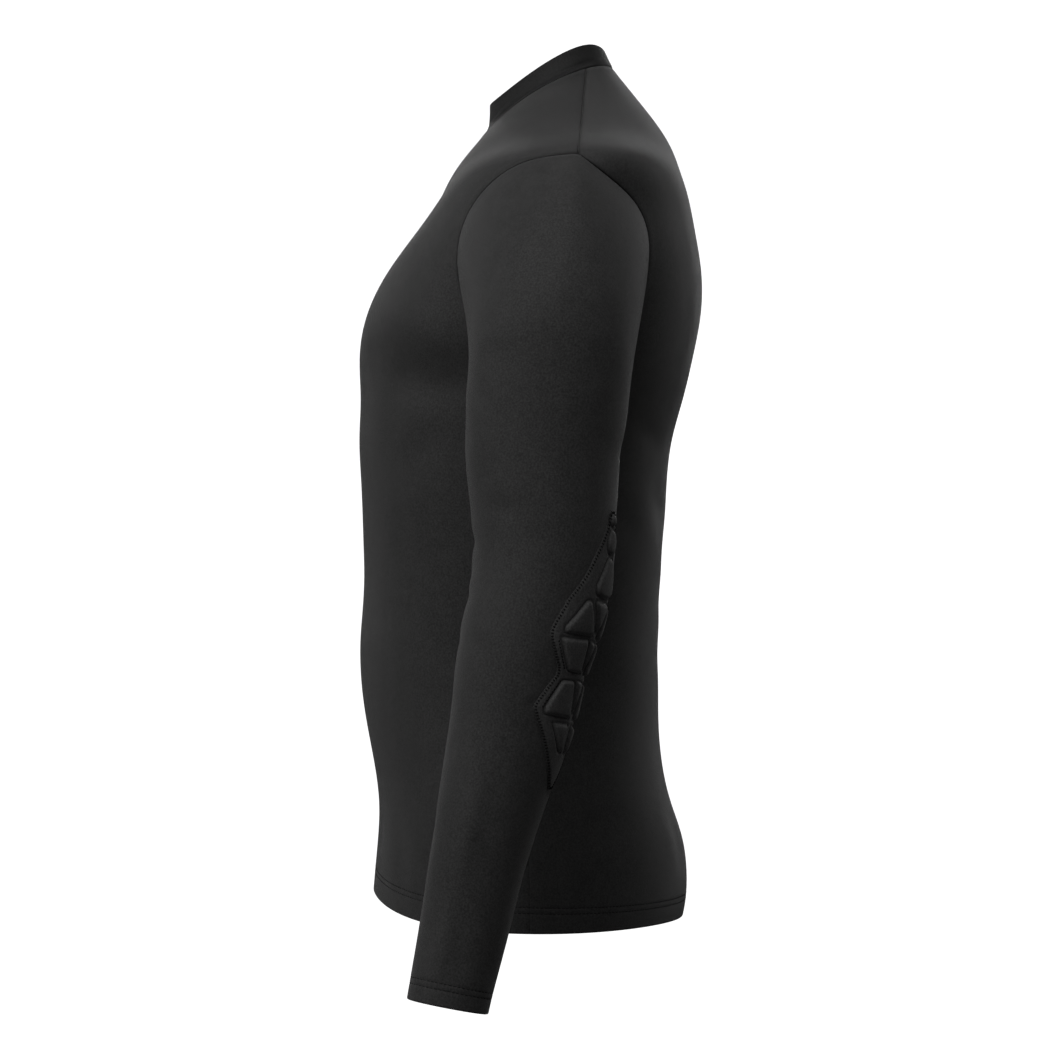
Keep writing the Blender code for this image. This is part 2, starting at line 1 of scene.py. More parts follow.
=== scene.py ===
import bpy
import numpy as np
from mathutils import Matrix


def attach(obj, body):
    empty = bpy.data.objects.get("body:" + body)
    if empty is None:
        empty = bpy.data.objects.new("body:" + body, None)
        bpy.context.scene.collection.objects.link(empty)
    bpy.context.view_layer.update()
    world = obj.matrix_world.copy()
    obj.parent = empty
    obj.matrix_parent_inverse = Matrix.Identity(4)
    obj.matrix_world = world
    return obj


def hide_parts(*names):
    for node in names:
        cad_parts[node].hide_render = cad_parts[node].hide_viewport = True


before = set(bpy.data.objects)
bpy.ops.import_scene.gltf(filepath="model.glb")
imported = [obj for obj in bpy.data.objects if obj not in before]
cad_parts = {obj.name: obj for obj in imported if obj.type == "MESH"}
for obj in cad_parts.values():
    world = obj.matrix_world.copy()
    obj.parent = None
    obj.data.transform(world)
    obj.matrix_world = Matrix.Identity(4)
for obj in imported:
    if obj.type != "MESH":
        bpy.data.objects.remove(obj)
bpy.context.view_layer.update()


# The studio: a pale floor and a closed round white wall, with soft lamps overhead, in front of the wearer,
# behind and at the right. The camera looks square at the wearer's left side, as the photograph does.
STUDIO_RADIUS = 4.6
FLOOR_CENTRE_RADIUS = 0.001
FLOOR_Z = -1.45
WALL_TOP = 1.15
FLOOR_GLOW = 0.6
WALL_GLOW = 1.0
PAINT = (0.8, 0.8, 0.8)
AIR_GLOW = 0.05

# Square soft lamps: name, place, the point that it faces, side in metres, and power in watts.
LAMPS = (
    ("overhead_lamp", (1.6, 0.1, 2.0), (0, 0, -0.3), 2.0, 36),
    ("key_lamp", (2.5, -2.3, 1.4), (0, 0, -0.4), 1.6, 22),
    ("low_key_lamp", (2.6, -2.4, -0.2), (0, 0, -0.4), 1.8, 18),
    ("front_lamp", (0.6, -2.9, 1.5), (0, 0, -0.2), 1.6, 20),
    ("back_lamp", (-2.6, 2.6, 0.7), (0, 0, -0.35), 2.0, 5),
    ("right_lamp", (-3.3, 0.2, 0.7), (0, 0, -0.35), 2.0, 38),
)

def studio_surface(name, profile, steps=96):
    """A round surface: a profile of (radius, height) points carried round the vertical line."""
    turn = np.linspace(0, 2 * np.pi, steps, endpoint=False)
    radius, height = np.array(profile, float).T
    points = np.stack([radius[:, None] * np.cos(turn), radius[:, None] * np.sin(turn),
                       np.broadcast_to(height[:, None], (len(radius), steps))], axis=-1)
    numbers = np.arange(points.shape[0] * steps).reshape(-1, steps)
    after = np.roll(numbers, -1, axis=1)
    faces = np.stack([numbers[:-1], numbers[1:], after[1:], after[:-1]], axis=-1).reshape(-1, 4)
    mesh = bpy.data.meshes.new(name)
    mesh.from_pydata(points.reshape(-1, 3).tolist(), [], faces.tolist())
    mesh.shade_smooth()
    surface = bpy.data.objects.new(name, mesh)
    bpy.context.scene.collection.objects.link(surface)
    return surface

def new_finish(name):
    """A new material, with its nodes, their links and its shader."""
    material = bpy.data.materials.new(name)
    material.use_nodes = True
    nodes = material.node_tree.nodes
    return material, nodes, material.node_tree.links, nodes["Principled BSDF"]

def plain_finish(name, colour, glow):
    """Matt paint that also gives off its own even light."""
    material, _, _, shader = new_finish(name)
    shader.inputs["Base Color"].default_value = (*colour, 1)
    shader.inputs["Roughness"].default_value = 0.9
    shader.inputs["Emission Color"].default_value = (1, 1, 1, 1)
    shader.inputs["Emission Strength"].default_value = glow
    return material

def area_lamp(name, place, aim, side, power):
    """A square soft lamp at place, turned to face aim."""
    lamp = bpy.data.lights.new(name, "AREA")
    lamp.shape = "RECTANGLE"
    lamp.size = lamp.size_y = side
    lamp.energy = power
    holder = bpy.data.objects.new(name, lamp)
    holder.location = place
    towards = np.array(aim, float) - np.array(place, float)
    holder.rotation_euler = (np.arccos(-towards[2] / np.linalg.norm(towards)), 0,
                             np.arctan2(towards[1], towards[0]) - np.pi / 2)
    bpy.context.scene.collection.objects.link(holder)

corner = (STUDIO_RADIUS, FLOOR_Z)
for word, profile, glow in (("floor", (corner, (FLOOR_CENTRE_RADIUS, FLOOR_Z)), FLOOR_GLOW),
                            ("wall", ((STUDIO_RADIUS, WALL_TOP), corner), WALL_GLOW)):
    surface = studio_surface("studio_" + word, profile)
    surface.data.materials.append(plain_finish(word + "_paint", PAINT, glow))
    surface.visible_diffuse = surface.visible_glossy = False
for lamp in LAMPS:
    area_lamp(*lamp)

world = bpy.data.worlds.new("studio_air")
world.use_nodes = True
world.node_tree.nodes["Background"].inputs["Color"].default_value = (1, 1, 1, 1)
world.node_tree.nodes["Background"].inputs["Strength"].default_value = AIR_GLOW
bpy.context.scene.world = world
bpy.context.scene.view_settings.view_transform = "Standard"

camera = bpy.data.objects.new("camera", bpy.data.cameras.new("camera"))
camera.data.lens = 127.36
camera.data.sensor_width = 36
camera.data.clip_end = 50
camera.location = (3.0, -0.016, -0.348)
camera.rotation_euler = (np.pi / 2, 0, np.pi / 2)
bpy.context.scene.collection.objects.link(camera)
bpy.context.scene.camera = camera


# Front and back body: two panels of charcoal polyester and elastane jersey, cut to shape and stretched over the
# wearer. They meet at the side and shoulder seams with rolled edges, and the lower edge is turned up as the hem.
MM = 0.001
CLOTH = 1.3 * MM
HEM_CLOTH = 2.4 * MM
SEAM_LAP = 0.1 * MM
SEAM_ROLL = 1.2 * MM
SEAM_DIP = 1.15 * MM
# How wide the painted shade along a seam, with its dark thread, is drawn.
SEAM_SHADE_WIDTH = 1.1 * MM
SIDE_SEAM_SHARE = 0.2
SEAM_BLEND = 5 * MM
RIDGE_HEIGHT = 0.22 * MM
RIDGE_PLACE = 3.6 * MM
RIDGE_WIDTH = 1.9 * MM
EDGE_ROLL = 1.3 * MM
EDGE_ROLL_DEPTH = 1.1 * MM
TURN_UP_STEP = 2 * MM
GROOVE_DEPTH = 0.22 * MM
GROOVE_WIDTH = 0.7 * MM
CHARCOAL = (0.0245, 0.0242, 0.0242)

# Rings of the body in millimetres, from the hem edge up to the collar seam: front_y, back_y, half_width, side_y,
# front_z, side_z, back_z, sway and squareness.
BODY_RINGS = (
    (-141, 106, 172, -16, -634.5, -653, -654.5, 7.5, 2.1),
    (-139, 109, 171.5, -16, -612, -629, -632, 5, 2.15),
    (-137.2, 106.4, 169, -17, -592, -596, -597, 2, 2.2),
    (-136.4, 96.2, 164, -21, -564, -564, -564, 0, 2.25),
    (-140.4, 89.2, 158, -26, -532, -532, -532, 0, 2.25),
    (-146.4, 86.6, 152.5, -30, -500, -500, -500, 0, 2.25),
    (-150.6, 86.4, 149, -32, -468, -468, -468, 0, 2.25),
    (-151.2, 86.2, 148, -32, -436, -436, -436, 0, 2.25),
    (-149, 87.6, 149.5, -31, -404, -404, -404, 0, 2.25),
    (-149, 90.2, 153.5, -29, -356, -356, -356, 0, 2.3),
    (-150.6, 93, 160, -25, -310, -310, -310, 0, 2.35),
    (-152, 97.2, 166, -19, -276, -276, -276, 0, 2.4),
    (-151, 105.8, 172, -11, -244, -247, -244, 0, 2.4),
    (-151.8, 113.6, 177, -4, -212, -220, -211, 0, 2.4),
    (-146.6, 119.6, 184, 2, -180, -176, -176, 0, 2.4),
    (-131.4, 120.2, 191, 9, -148, -132, -144, 0, 2.3),
    (-110.2, 116.4, 196, 15, -120, -96, -118, 0, 2.15),
    (-93.6, 111.4, 195, 20, -98, -66.2, -92, 0, 2),
    (-85.6, 104.8, 153, 18, -80.5, -46, -66, 0, 1.92),
    (-77, 94.2, 115, 14, -64, -27, -39, 0, 1.92),
    (-66, 73, 85, 9, -49.5, -9, -9, 1, 1.96),
    (-54.4, 50.4, 64.5, 4, -35.2, 4.5, 19.4, 4.2, 2),
)
UNDERARM_RING = 13
SHOULDER_RING = 17
NECK_RING = len(BODY_RINGS) - 1
SHOULDER_SEAM_Y = (20, 28.3)
SIDE_SEAM_LENGTH = 0.41
HALF_ARMHOLE_LENGTH = 0.24
SHOULDER_SEAM_LENGTH = 0.15
EVEN_SHOULDER_SHARE = 0.965

# The armhole seen from the side as (y, z) in millimetres, from the shoulder point round to the underarm.
ARMHOLE_FRONT = ((20, -66.2), (-3, -68), (-26, -74), (-49, -89.5), (-64.5, -112), (-70.5, -137),
                 (-68, -163), (-56, -189), (-33, -211), (-4, -220))
ARMHOLE_BACK = ((20, -66.2), (38, -80), (56, -94), (67.5, -108), (73, -124), (73.5, -142),
                (68.5, -165), (54, -191), (29, -211), (-4, -220))
SHOULDER_SLOPE = np.radians(30)
UNDERARM_SLOPE = np.radians(8)

# Soft creases in millimetres, seen square from each side of the wearer: start_across, start_z, end_across, end_z,
# bow, width and depth. Bow is how far one bends sideways, and a depth below 0 is a ridge.
BODY_CREASES = {
    "left": (
        (-178, -204, -28, -244, -8, 21, 6.6),
        (-178, -262, -26, -284, 0, 40, 4.2),
        (-128, -560, -125, -640, 1, 6, -1.5),
        (-118, -300, -60, -268, 6, 13, 1.1),
        (62, -262, 92, -300, 4, 9, 1.2),
        (40, -330, 84, -352, -6, 14, 1.4),
        (-20, -452, 70, -486, 8, 16, 1.0),
        (-92, -420, -30, -452, -7, 17, 0.9),
        (18, -560, 82, -585, -5, 15, 1.0),
    ),
    "right": (
        (-122, -204, -58, -218, 5, 14, 2.0),
        (-110, -306, -48, -276, -6, 12, 1.2),
        (52, -322, 86, -344, 5, 13, 1.5),
        (-26, -470, 66, -440, -7, 15, 1.0),
        (12, -588, 78, -566, 6, 14, 0.9),
    ),
    "front": (
        (-128, -214, -66, -196, -5, 15, 1.6),
        (128, -212, 70, -198, 4, 14, 1.5),
        (-96, -330, 14, -352, 9, 20, 1.1),
        (92, -402, -8, -380, -7, 19, 1.0),
        (-44, -520, -58, -622, 5, 15, 1.2),
        (62, -538, 48, -618, -4, 13, 1.0),
    ),
    "back": (
        (-104, -296, -20, -330, -7, 17, 1.8),
        (100, -306, 26, -342, 6, 16, 1.7),
        (-84, -352, 40, -372, 6, 15, 1.5),
        (70, -398, -30, -414, -5, 17, 1.3),
        (-60, -440, 52, -452, 4, 18, 1.0),
        (-18, -120, -26, -214, 3, 19, 1.2),
        (58, -560, 66, -624, -4, 13, 1.1),
    ),
}

# A crease's low ridge beside it: its height, its distance and its width, as shares of the crease's own.
BESIDE_CREASE = (0.4, 1.9, 1.2)
CREASE_FACING = 1.6

HEM_ROW_HEIGHTS = np.array([0, 0.3, 0.7, 1.2, 2, 3.5, 6, 9, 12, 14, 14.8, 15.2, 15.5, 15.8, 16.2, 17, 18.4, 19.3,
                            19.7, 20, 20.3, 20.7, 21.4, 22.4, 24]) * MM
HEM_STITCH_HEIGHTS = np.array([15.5, 20.0]) * MM
EDGE_STEPS = np.array([5.2, 3.4, 2.2, 1.4, 1.0, 0.75, 0.5, 0.25, 0.1, 0.0]) * MM
ROW_SPACING = 3.4 * MM
BODY_COLUMNS_ACROSS = 68
CURVE_SAMPLES = 400
BELOW_NECK_RING = NECK_RING - 0.02
ARMHOLE_Z = np.array([-220, -66]) * MM
ARMHOLE_SEARCH_ROUNDS = 30
ARMHOLE_SEARCH_PACE = 0.7
BODY_RADIUS = 0.25

def length(vectors):
    """The length of each vector."""
    return np.linalg.norm(vectors, axis=-1)

def unit(vectors):
    """The vectors, each divided by its own length."""
    return vectors / length(vectors)[..., None]

def walked(line):
    """How far each point of a line lies along it: the running sum of its steps' lengths."""
    return np.concatenate([[0], np.cumsum(length(np.diff(line, axis=0)))])

def spline(table, place):
    """A natural cubic spline through the table's rows, read at place: 0 is the first row and 1 the next."""
    rows = np.asarray(table, float)
    last = len(rows) - 1
    inner = np.arange(1, last)
    system = np.eye(last + 1)
    system[inner, inner - 1], system[inner, inner], system[inner, inner + 1] = 1, 4, 1
    bends = np.zeros_like(rows)
    bends[1:-1] = 6 * (rows[:-2] - 2 * rows[1:-1] + rows[2:])
    bends = np.linalg.solve(system, bends)
    place = np.asarray(place, float)
    low = np.clip(np.floor(place).astype(int), 0, last - 1)
    after = (place - low)[..., None]
    before = 1 - after
    return (before * rows[low] + after * rows[low + 1]
            + ((before**3 - before) * bends[low] + (after**3 - after) * bends[low + 1]) / 6)

def oval(angle, first, second, squareness):
    """A superellipse's two coordinates: the radius is one over the root-sum of each share's power."""
    across, along = np.sin(angle), np.cos(angle)
    radius = (np.abs(along / second) ** squareness + np.abs(across / first) ** squareness) ** (-1 / squareness)
    return radius * across, radius * along

def ring_point(values, angle):
    """A point of a body ring: an oval about side_y, whose height is side + tilt c + arch c^2 + sway (c^3 - c),
    where c is the angle's cosine. The angle is 0 in front, 90 degrees at the wearer's left and 180 behind."""
    front_y, back_y, half_width, side_y, front_z, side_z, back_z, sway = np.moveaxis(values[..., :8], -1, 0) * MM
    share = np.cos(angle)
    depth = np.where(share > 0, side_y - front_y, back_y - side_y)
    x, towards_front = oval(angle, half_width, depth, values[..., 8])
    tilt, arch = (front_z - back_z) / 2, (front_z + back_z) / 2 - side_z
    z = side_z + tilt * share + arch * share**2 + sway * (share**3 - share)
    return np.stack([x, side_y - towards_front, z], axis=-1)

def body(angle, ring):
    """The body's outer surface at an angle round the wearer and a place among the rings."""
    return ring_point(spline(BODY_RINGS, ring), angle)

def normals_of(surface, first, second, step=0.01):
    """Unit normals: the cross product of the surface's slopes along its two parameters."""
    along_first = surface(first + step, second) - surface(first - step, second)
    along_second = surface(first, second + step) - surface(first, second - step)
    return unit(np.cross(along_first, along_second))

def armhole_side_view(around):
    """The armhole's y and z at a share of the way round, by the front: evenly walked along each half's spline."""
    around = np.asarray(around, float) % 1.0
    share = np.where(around <= 0.5, around, 1 - around) * 2
    halves = []
    for table in (ARMHOLE_FRONT, ARMHOLE_BACK):
        places = np.linspace(0, len(table) - 1, CURVE_SAMPLES)
        along = walked(spline(table, places))
        halves.append(spline(table, np.interp(share * along[-1], along, places)) * MM)
    return np.where((around <= 0.5)[..., None], *halves)

def armhole_on_body(around):
    """The armhole's angle and ring on the body, by Newton's method from its side view."""
    target = armhole_side_view(around)
    ring = np.interp(target[..., 1], ARMHOLE_Z, (UNDERARM_RING, SHOULDER_RING))
    angle = np.pi / 2 + target[..., 0] / BODY_RADIUS
    step = 1e-4
    for _ in range(ARMHOLE_SEARCH_ROUNDS):
        miss = body(angle, ring)[..., 1:] - target
        by_angle = (body(angle + step, ring)[..., 1:] - body(angle - step, ring)[..., 1:]) / (2 * step)
        by_ring = (body(angle, ring + step)[..., 1:] - body(angle, ring - step)[..., 1:]) / (2 * step)
        spread = by_angle[..., 0] * by_ring[..., 1] - by_angle[..., 1] * by_ring[..., 0]
        pace = ARMHOLE_SEARCH_PACE / spread
        angle = angle - (miss[..., 0] * by_ring[..., 1] - miss[..., 1] * by_ring[..., 0]) * pace
        ring = ring - (by_angle[..., 0] * miss[..., 1] - by_angle[..., 1] * miss[..., 0]) * pace
    return angle, ring

def mitre(along, panel_normal, leaving):
    """At a fold between two pieces: the direction across the seam, and the mean of the two pieces' normals."""
    along = unit(along)
    leaving = unit(leaving - along * np.sum(leaving * along, axis=-1, keepdims=True))
    arriving = unit(np.cross(along, panel_normal))
    arriving *= np.sign(np.sum(arriving * leaving, axis=-1, keepdims=True))
    turn = np.cross(along, arriving)
    next_normal = unit(np.cross(along, leaving))
    next_normal *= np.sign(np.sum(next_normal * turn, axis=-1, keepdims=True)
                           * np.sum(panel_normal * turn, axis=-1, keepdims=True))
    return unit(arriving + leaving), unit(panel_normal + next_normal)

def sleeve_leaving(around):
    """The direction in which the sleeve leaves the armhole: down the shoulder's slope, and flatter underneath."""
    low = (1 - np.cos(2 * np.pi * np.asarray(around))) / 2
    slope = SHOULDER_SLOPE + (UNDERARM_SLOPE - SHOULDER_SLOPE) * low**2
    return np.stack([np.cos(slope), np.zeros_like(slope), -np.sin(slope)], axis=-1)

def armhole_fold(around):
    """Points of the armhole, the direction across its seam, and the normal that both edges share."""
    places = armhole_on_body(around)
    step = 0.002
    along = body(*armhole_on_body(around + step)) - body(*armhole_on_body(around - step))
    return body(*places), *mitre(along, normals_of(body, *places), sleeve_leaving(around))

def distance_to(points, line):
    """The distance from each point to a line of short straight steps: to the nearest place on any of them."""
    start, step = line[:-1], np.diff(line, axis=0)
    from_start = points[..., None, :] - start
    along = np.clip(np.sum(from_start * step, axis=-1) / np.sum(step**2, axis=-1), 0, 1)
    return length(from_start - along[..., None] * step).min(axis=-1)

def smooth(share):
    """A share from 0 to 1 eased at both ends: 3 s^2 - 2 s^3."""
    share = np.clip(share, 0, 1)
    return share**2 * (3 - 2 * share)

def creased(points, normals, creases):
    """Points moved along their normals by soft creases. Across one, the dip is a bell curve of its width with a
    low bell beside it; along one, it is (1 - s^2)^2 of the distance from its middle; and it fades where the
    cloth turns away from the side it is seen from."""
    views = {"left": (1, 0, 1), "right": (1, 0, -1), "front": (0, 1, -1), "back": (0, 1, 1)}
    beside_height, beside_place, beside_width = BESIDE_CREASE
    moved = np.zeros(points.shape[:-1])
    for seen_from, table in creases.items():
        across_axis, facing_axis, sign = views[seen_from]
        facing = smooth(normals[..., facing_axis] * sign * CREASE_FACING)
        for start_across, start_z, end_across, end_z, bow, width, depth in np.array(table) * MM:
            run = np.array([end_across - start_across, end_z - start_z])
            offset = np.stack([points[..., across_axis] - start_across, points[..., 2] - start_z], axis=-1)
            share = offset @ run / length(run) ** 2
            aside = (offset @ np.array([-run[1], run[0]])) / length(run) - bow * 4 * share * (1 - share)
            fade = np.clip(1 - (2 * share - 1) ** 2, 0, 1) ** 2
            beside = np.exp(-((aside - beside_place * width) / (beside_width * width)) ** 2)
            moved -= depth * fade * (np.exp(-(aside / width) ** 2) - beside_height * beside) * facing
    return points + normals * moved[..., None]

def rolled(distance, reach, depth):
    """How far a sewn edge turns in: a quarter of an oval, depth deep at the edge and nothing from reach on."""
    left = np.clip(1 - distance / reach, 0, 1)
    return depth * (1 - np.sqrt(1 - left**2))

def seam_dip(distance):
    """The rolled edge of a seam, beside the low ridge of the cloth that is turned in behind it."""
    ridge = RIDGE_HEIGHT * np.exp(-((distance - RIDGE_PLACE) / RIDGE_WIDTH) ** 2)
    return rolled(distance, SEAM_ROLL, SEAM_DIP) - ridge

def seam_painted_shade(distance):
    """Painted shade at a seam, with the seam's own dark thread: how dark the cloth is drawn, a narrow bell of the
    distance to it.
    """
    return np.exp(-(distance / SEAM_SHADE_WIDTH) ** 2)

def stitch_groove(height, rows):
    """The shallow grooves that rows of stitches pull into the cloth: a narrow bell at the height of each row."""
    return GROOVE_DEPTH * np.exp(-((height[..., None] - rows) / GROOVE_WIDTH) ** 2).sum(axis=-1)

def turned_up(height, top, rows):
    """Thickness and dip of cloth near a turned-up edge: double below the turn's top, rolled in at the edge
    and grooved at its rows of stitches."""
    edge = rolled(height, EDGE_ROLL, EDGE_ROLL_DEPTH)
    thickness = CLOTH + (HEM_CLOTH - CLOTH) * smooth((top - height) / TURN_UP_STEP) - edge
    return thickness, edge + stitch_groove(height, rows)

def turned_in(normal, shared, distance):
    """Normals turned towards those that two pieces share at a seam, by (1 - d / reach)^2 of the distance to it."""
    blend = (np.clip(1 - distance / SEAM_BLEND, 0, 1) ** 2)[..., None]
    return unit(normal * (1 - blend) + shared * blend)

def fabric_mesh(name, points, faces, texture, material, shade=None):
    """A mesh from points, four-sided faces, and each face corner's place on the flat cloth in metres. Faces are
    turned outwards by the sign of the enclosed volume. Shade is how dark each point is drawn by painted shade, from 0
    to 1."""
    corners = points[faces]
    volume = np.sum(corners[:, 0] * np.cross(corners[:, 1], corners[:, 2]))
    volume += np.sum(corners[:, 0] * np.cross(corners[:, 2], corners[:, 3]))
    if volume < 0:
        faces, texture = faces[:, ::-1], texture[:, ::-1]
    mesh = bpy.data.meshes.new(name)
    mesh.vertices.add(len(points))
    mesh.vertices.foreach_set("co", points.astype(np.float32).ravel())
    mesh.loops.add(faces.size)
    mesh.loops.foreach_set("vertex_index", faces.astype(np.int32).ravel())
    mesh.polygons.add(len(faces))
    mesh.polygons.foreach_set("loop_start", np.arange(0, faces.size, 4, dtype=np.int32))
    mesh.update(calc_edges=True)
    cloth_map = mesh.uv_layers.new(name="cloth")
    cloth_map.data.foreach_set("uv", texture.astype(np.float32).ravel())
    if shade is not None:
        drawn = mesh.attributes.new("painted_shade", "FLOAT", "POINT")
        drawn.data.foreach_set("value", shade.astype(np.float32).ravel())
    mesh.shade_smooth()
    mesh.materials.append(material)
    piece = bpy.data.objects.new(name, mesh)
    bpy.context.scene.collection.objects.link(piece)
    return piece

def cloth_wall(name, outer, inner, texture, closed, material, shade):
    """A closed wall of cloth: the outer grid, then the inner grid in reverse, joined row to row all the way
    round, with its two side edges closed where the piece isn't a tube. A tube's texture has one more column."""
    points = np.concatenate([outer, inner[::-1]])
    shade = np.concatenate([shade, np.zeros(inner.shape[:2])])
    texture = np.concatenate([texture, texture[::-1]])
    rows, columns = points.shape[:2]
    row, column = np.meshgrid(np.arange(rows), np.arange(columns if closed else columns - 1), indexing="ij")
    row = row.reshape(-1, 1) + np.array([0, 0, 1, 1])
    column = column.reshape(-1, 1) + np.array([0, 1, 1, 0])
    if not closed:
        side = np.arange(len(outer) - 1)[:, None]
        back = rows - 1 - side
        left = np.concatenate([side, side + 1, back - 1, back], axis=1)
        row = np.concatenate([row, left, left[:, ::-1]])
        column = np.concatenate([column, np.zeros_like(left), np.full_like(left, columns - 1)])
    faces = (row % rows) * columns + column % columns
    return fabric_mesh(name, points.reshape(-1, 3), faces, texture[row % rows, column], material, shade)

WALE_WIDTH = 0.62 * MM
COURSE_HEIGHT = 0.55 * MM
WALE_BEND = 2.4
STITCH_RELIEF = 0.25
LOOP_TONE = 0.5
VALLEY_TONE = 0.68
# How far the painted shade darkens the colour at its darkest.
PAINTED_SHADE_STRENGTH = 0.96
TONE_STOPS = (0.38, 0.62)
ROUGHNESS_LEAST = 0.5
ROUGHNESS_RANGE = 0.16
JERSEY_BUMP = 0.16 * MM
JERSEY_BUMP_STRENGTH = 0.6
JERSEY_GLOSS = 0.22
SHEEN_ROUGHNESS = 0.45
FUZZ_GRAINS = 2600
FUZZ_SHARE = 0.35

# The noises that make the tone uneven: grains to a metre, detail, and share. The third also varies the gloss.
TONE_GRAINS = ((740, 3, 0.6), (260, 2, 0.1), (70, 2, 0.15), (9, 3, 0.15))

def noise(nodes, links, scale, detail=2):
    """Soft noise on the piece's own coordinates."""
    node = nodes.new("ShaderNodeTexNoise")
    node.inputs["Scale"].default_value = scale
    node.inputs["Detail"].default_value = detail
    links.new(nodes.new("ShaderNodeTexCoord").outputs["Object"], node.inputs["Vector"])
    return node.outputs["Fac"]

def two_tones(nodes, links, share, colour, stops, tones):
    """A colour that goes from its first tone at the first stop to its second tone at the second."""
    ramp = nodes.new("ShaderNodeValToRGB")
    for element, stop, tone in zip(ramp.color_ramp.elements, stops, tones):
        element.position = stop
        element.color = (*(np.array(colour) * tone), 1)
    links.new(share, ramp.inputs["Fac"])
    return ramp.outputs["Color"]

def raise_bump(nodes, links, height, strength, distance, shader):
    """Fine relief of a height on the shader."""
    bump = nodes.new("ShaderNodeBump")
    bump.inputs["Strength"].default_value = strength
    bump.inputs["Distance"].default_value = distance
    links.new(height, bump.inputs["Height"])
    links.new(bump.outputs["Normal"], shader.inputs["Normal"])

def jersey(name, colour, sheen, unevenness):
    """Fine rib-free jersey, read from the cloth's own map in metres: upright wales of the absolute sine of u, each
    broken into small V stitches by a sine of v that the wale bends, with soft uneven tone over the piece. It is
    darkened by the painted shade that each mesh carries at its points."""
    material, nodes, links, shader = new_finish(name)

    def math(operation, *values):
        """One sum worked out by the shader, from plain numbers and the results of other sums."""
        node = nodes.new("ShaderNodeMath")
        node.operation = operation
        for socket, value in zip(node.inputs, values):
            if isinstance(value, (int, float)):
                socket.default_value = value
            else:
                links.new(value, socket)
        return node.outputs[0]

    flat = nodes.new("ShaderNodeSeparateXYZ")
    links.new(nodes.new("ShaderNodeTexCoord").outputs["UV"], flat.inputs[0])
    wale = math("ABSOLUTE", math("SINE", math("MULTIPLY", flat.outputs["X"], np.pi / WALE_WIDTH)))
    course = math("MULTIPLY", flat.outputs["Y"], 2 * np.pi / COURSE_HEIGHT)
    stitch = math("SINE", math("ADD", course, math("MULTIPLY", wale, WALE_BEND)))
    loops = math("MULTIPLY", wale, math("MULTIPLY_ADD", stitch, STITCH_RELIEF, 1 - STITCH_RELIEF))

    tone = 0.0
    grains = [noise(nodes, links, scale, detail) for scale, detail, _ in TONE_GRAINS]
    for grain, (_, _, share) in zip(grains, TONE_GRAINS):
        tone = math("MULTIPLY_ADD", grain, share, tone)
    uneven = two_tones(nodes, links, tone, colour, TONE_STOPS, (1 - unevenness, 1 + unevenness))
    # Painted shade: the darkness that each mesh carries at its points darkens the colour at seams, sewn channels, the
    # collar's hollow and round the pads' edges.
    seam = nodes.new("ShaderNodeAttribute")
    seam.attribute_name = "painted_shade"
    painted_shade_factor = math("MULTIPLY_ADD", seam.outputs["Fac"], -PAINTED_SHADE_STRENGTH, 1.0)
    shade = math("MULTIPLY", math("MULTIPLY_ADD", loops, LOOP_TONE, VALLEY_TONE), painted_shade_factor)
    shaded = nodes.new("ShaderNodeMix")
    shaded.data_type = "RGBA"
    shaded.blend_type = "MULTIPLY"
    shaded.inputs["Factor"].default_value = 1.0
    links.new(uneven, shaded.inputs["A"])
    links.new(shade, shaded.inputs["B"])
    links.new(shaded.outputs["Result"], shader.inputs["Base Color"])

    links.new(math("MULTIPLY_ADD", grains[2], ROUGHNESS_RANGE, ROUGHNESS_LEAST), shader.inputs["Roughness"])
    relief = math("MULTIPLY_ADD", noise(nodes, links, FUZZ_GRAINS), FUZZ_SHARE, loops)
    raise_bump(nodes, links, relief, JERSEY_BUMP_STRENGTH, JERSEY_BUMP, shader)
    shader.inputs["Specular IOR Level"].default_value = JERSEY_GLOSS
    shader.inputs["Sheen Weight"].default_value = sheen
    shader.inputs["Sheen Roughness"].default_value = SHEEN_ROUGHNESS
    shader.inputs["Sheen Tint"].default_value = (1, 1, 1, 1)
    return material

shirt_jersey = jersey("charcoal_jersey", CHARCOAL, sheen=0.21, unevenness=0.44)

def hem_place(height):
    """The place among the rings that lies this far above the hem edge at the side."""
    places = np.linspace(0, 3, CURVE_SAMPLES)
    heights = body(np.pi / 2, places)[:, 2]
    return np.interp(heights[0] + height, heights, places)

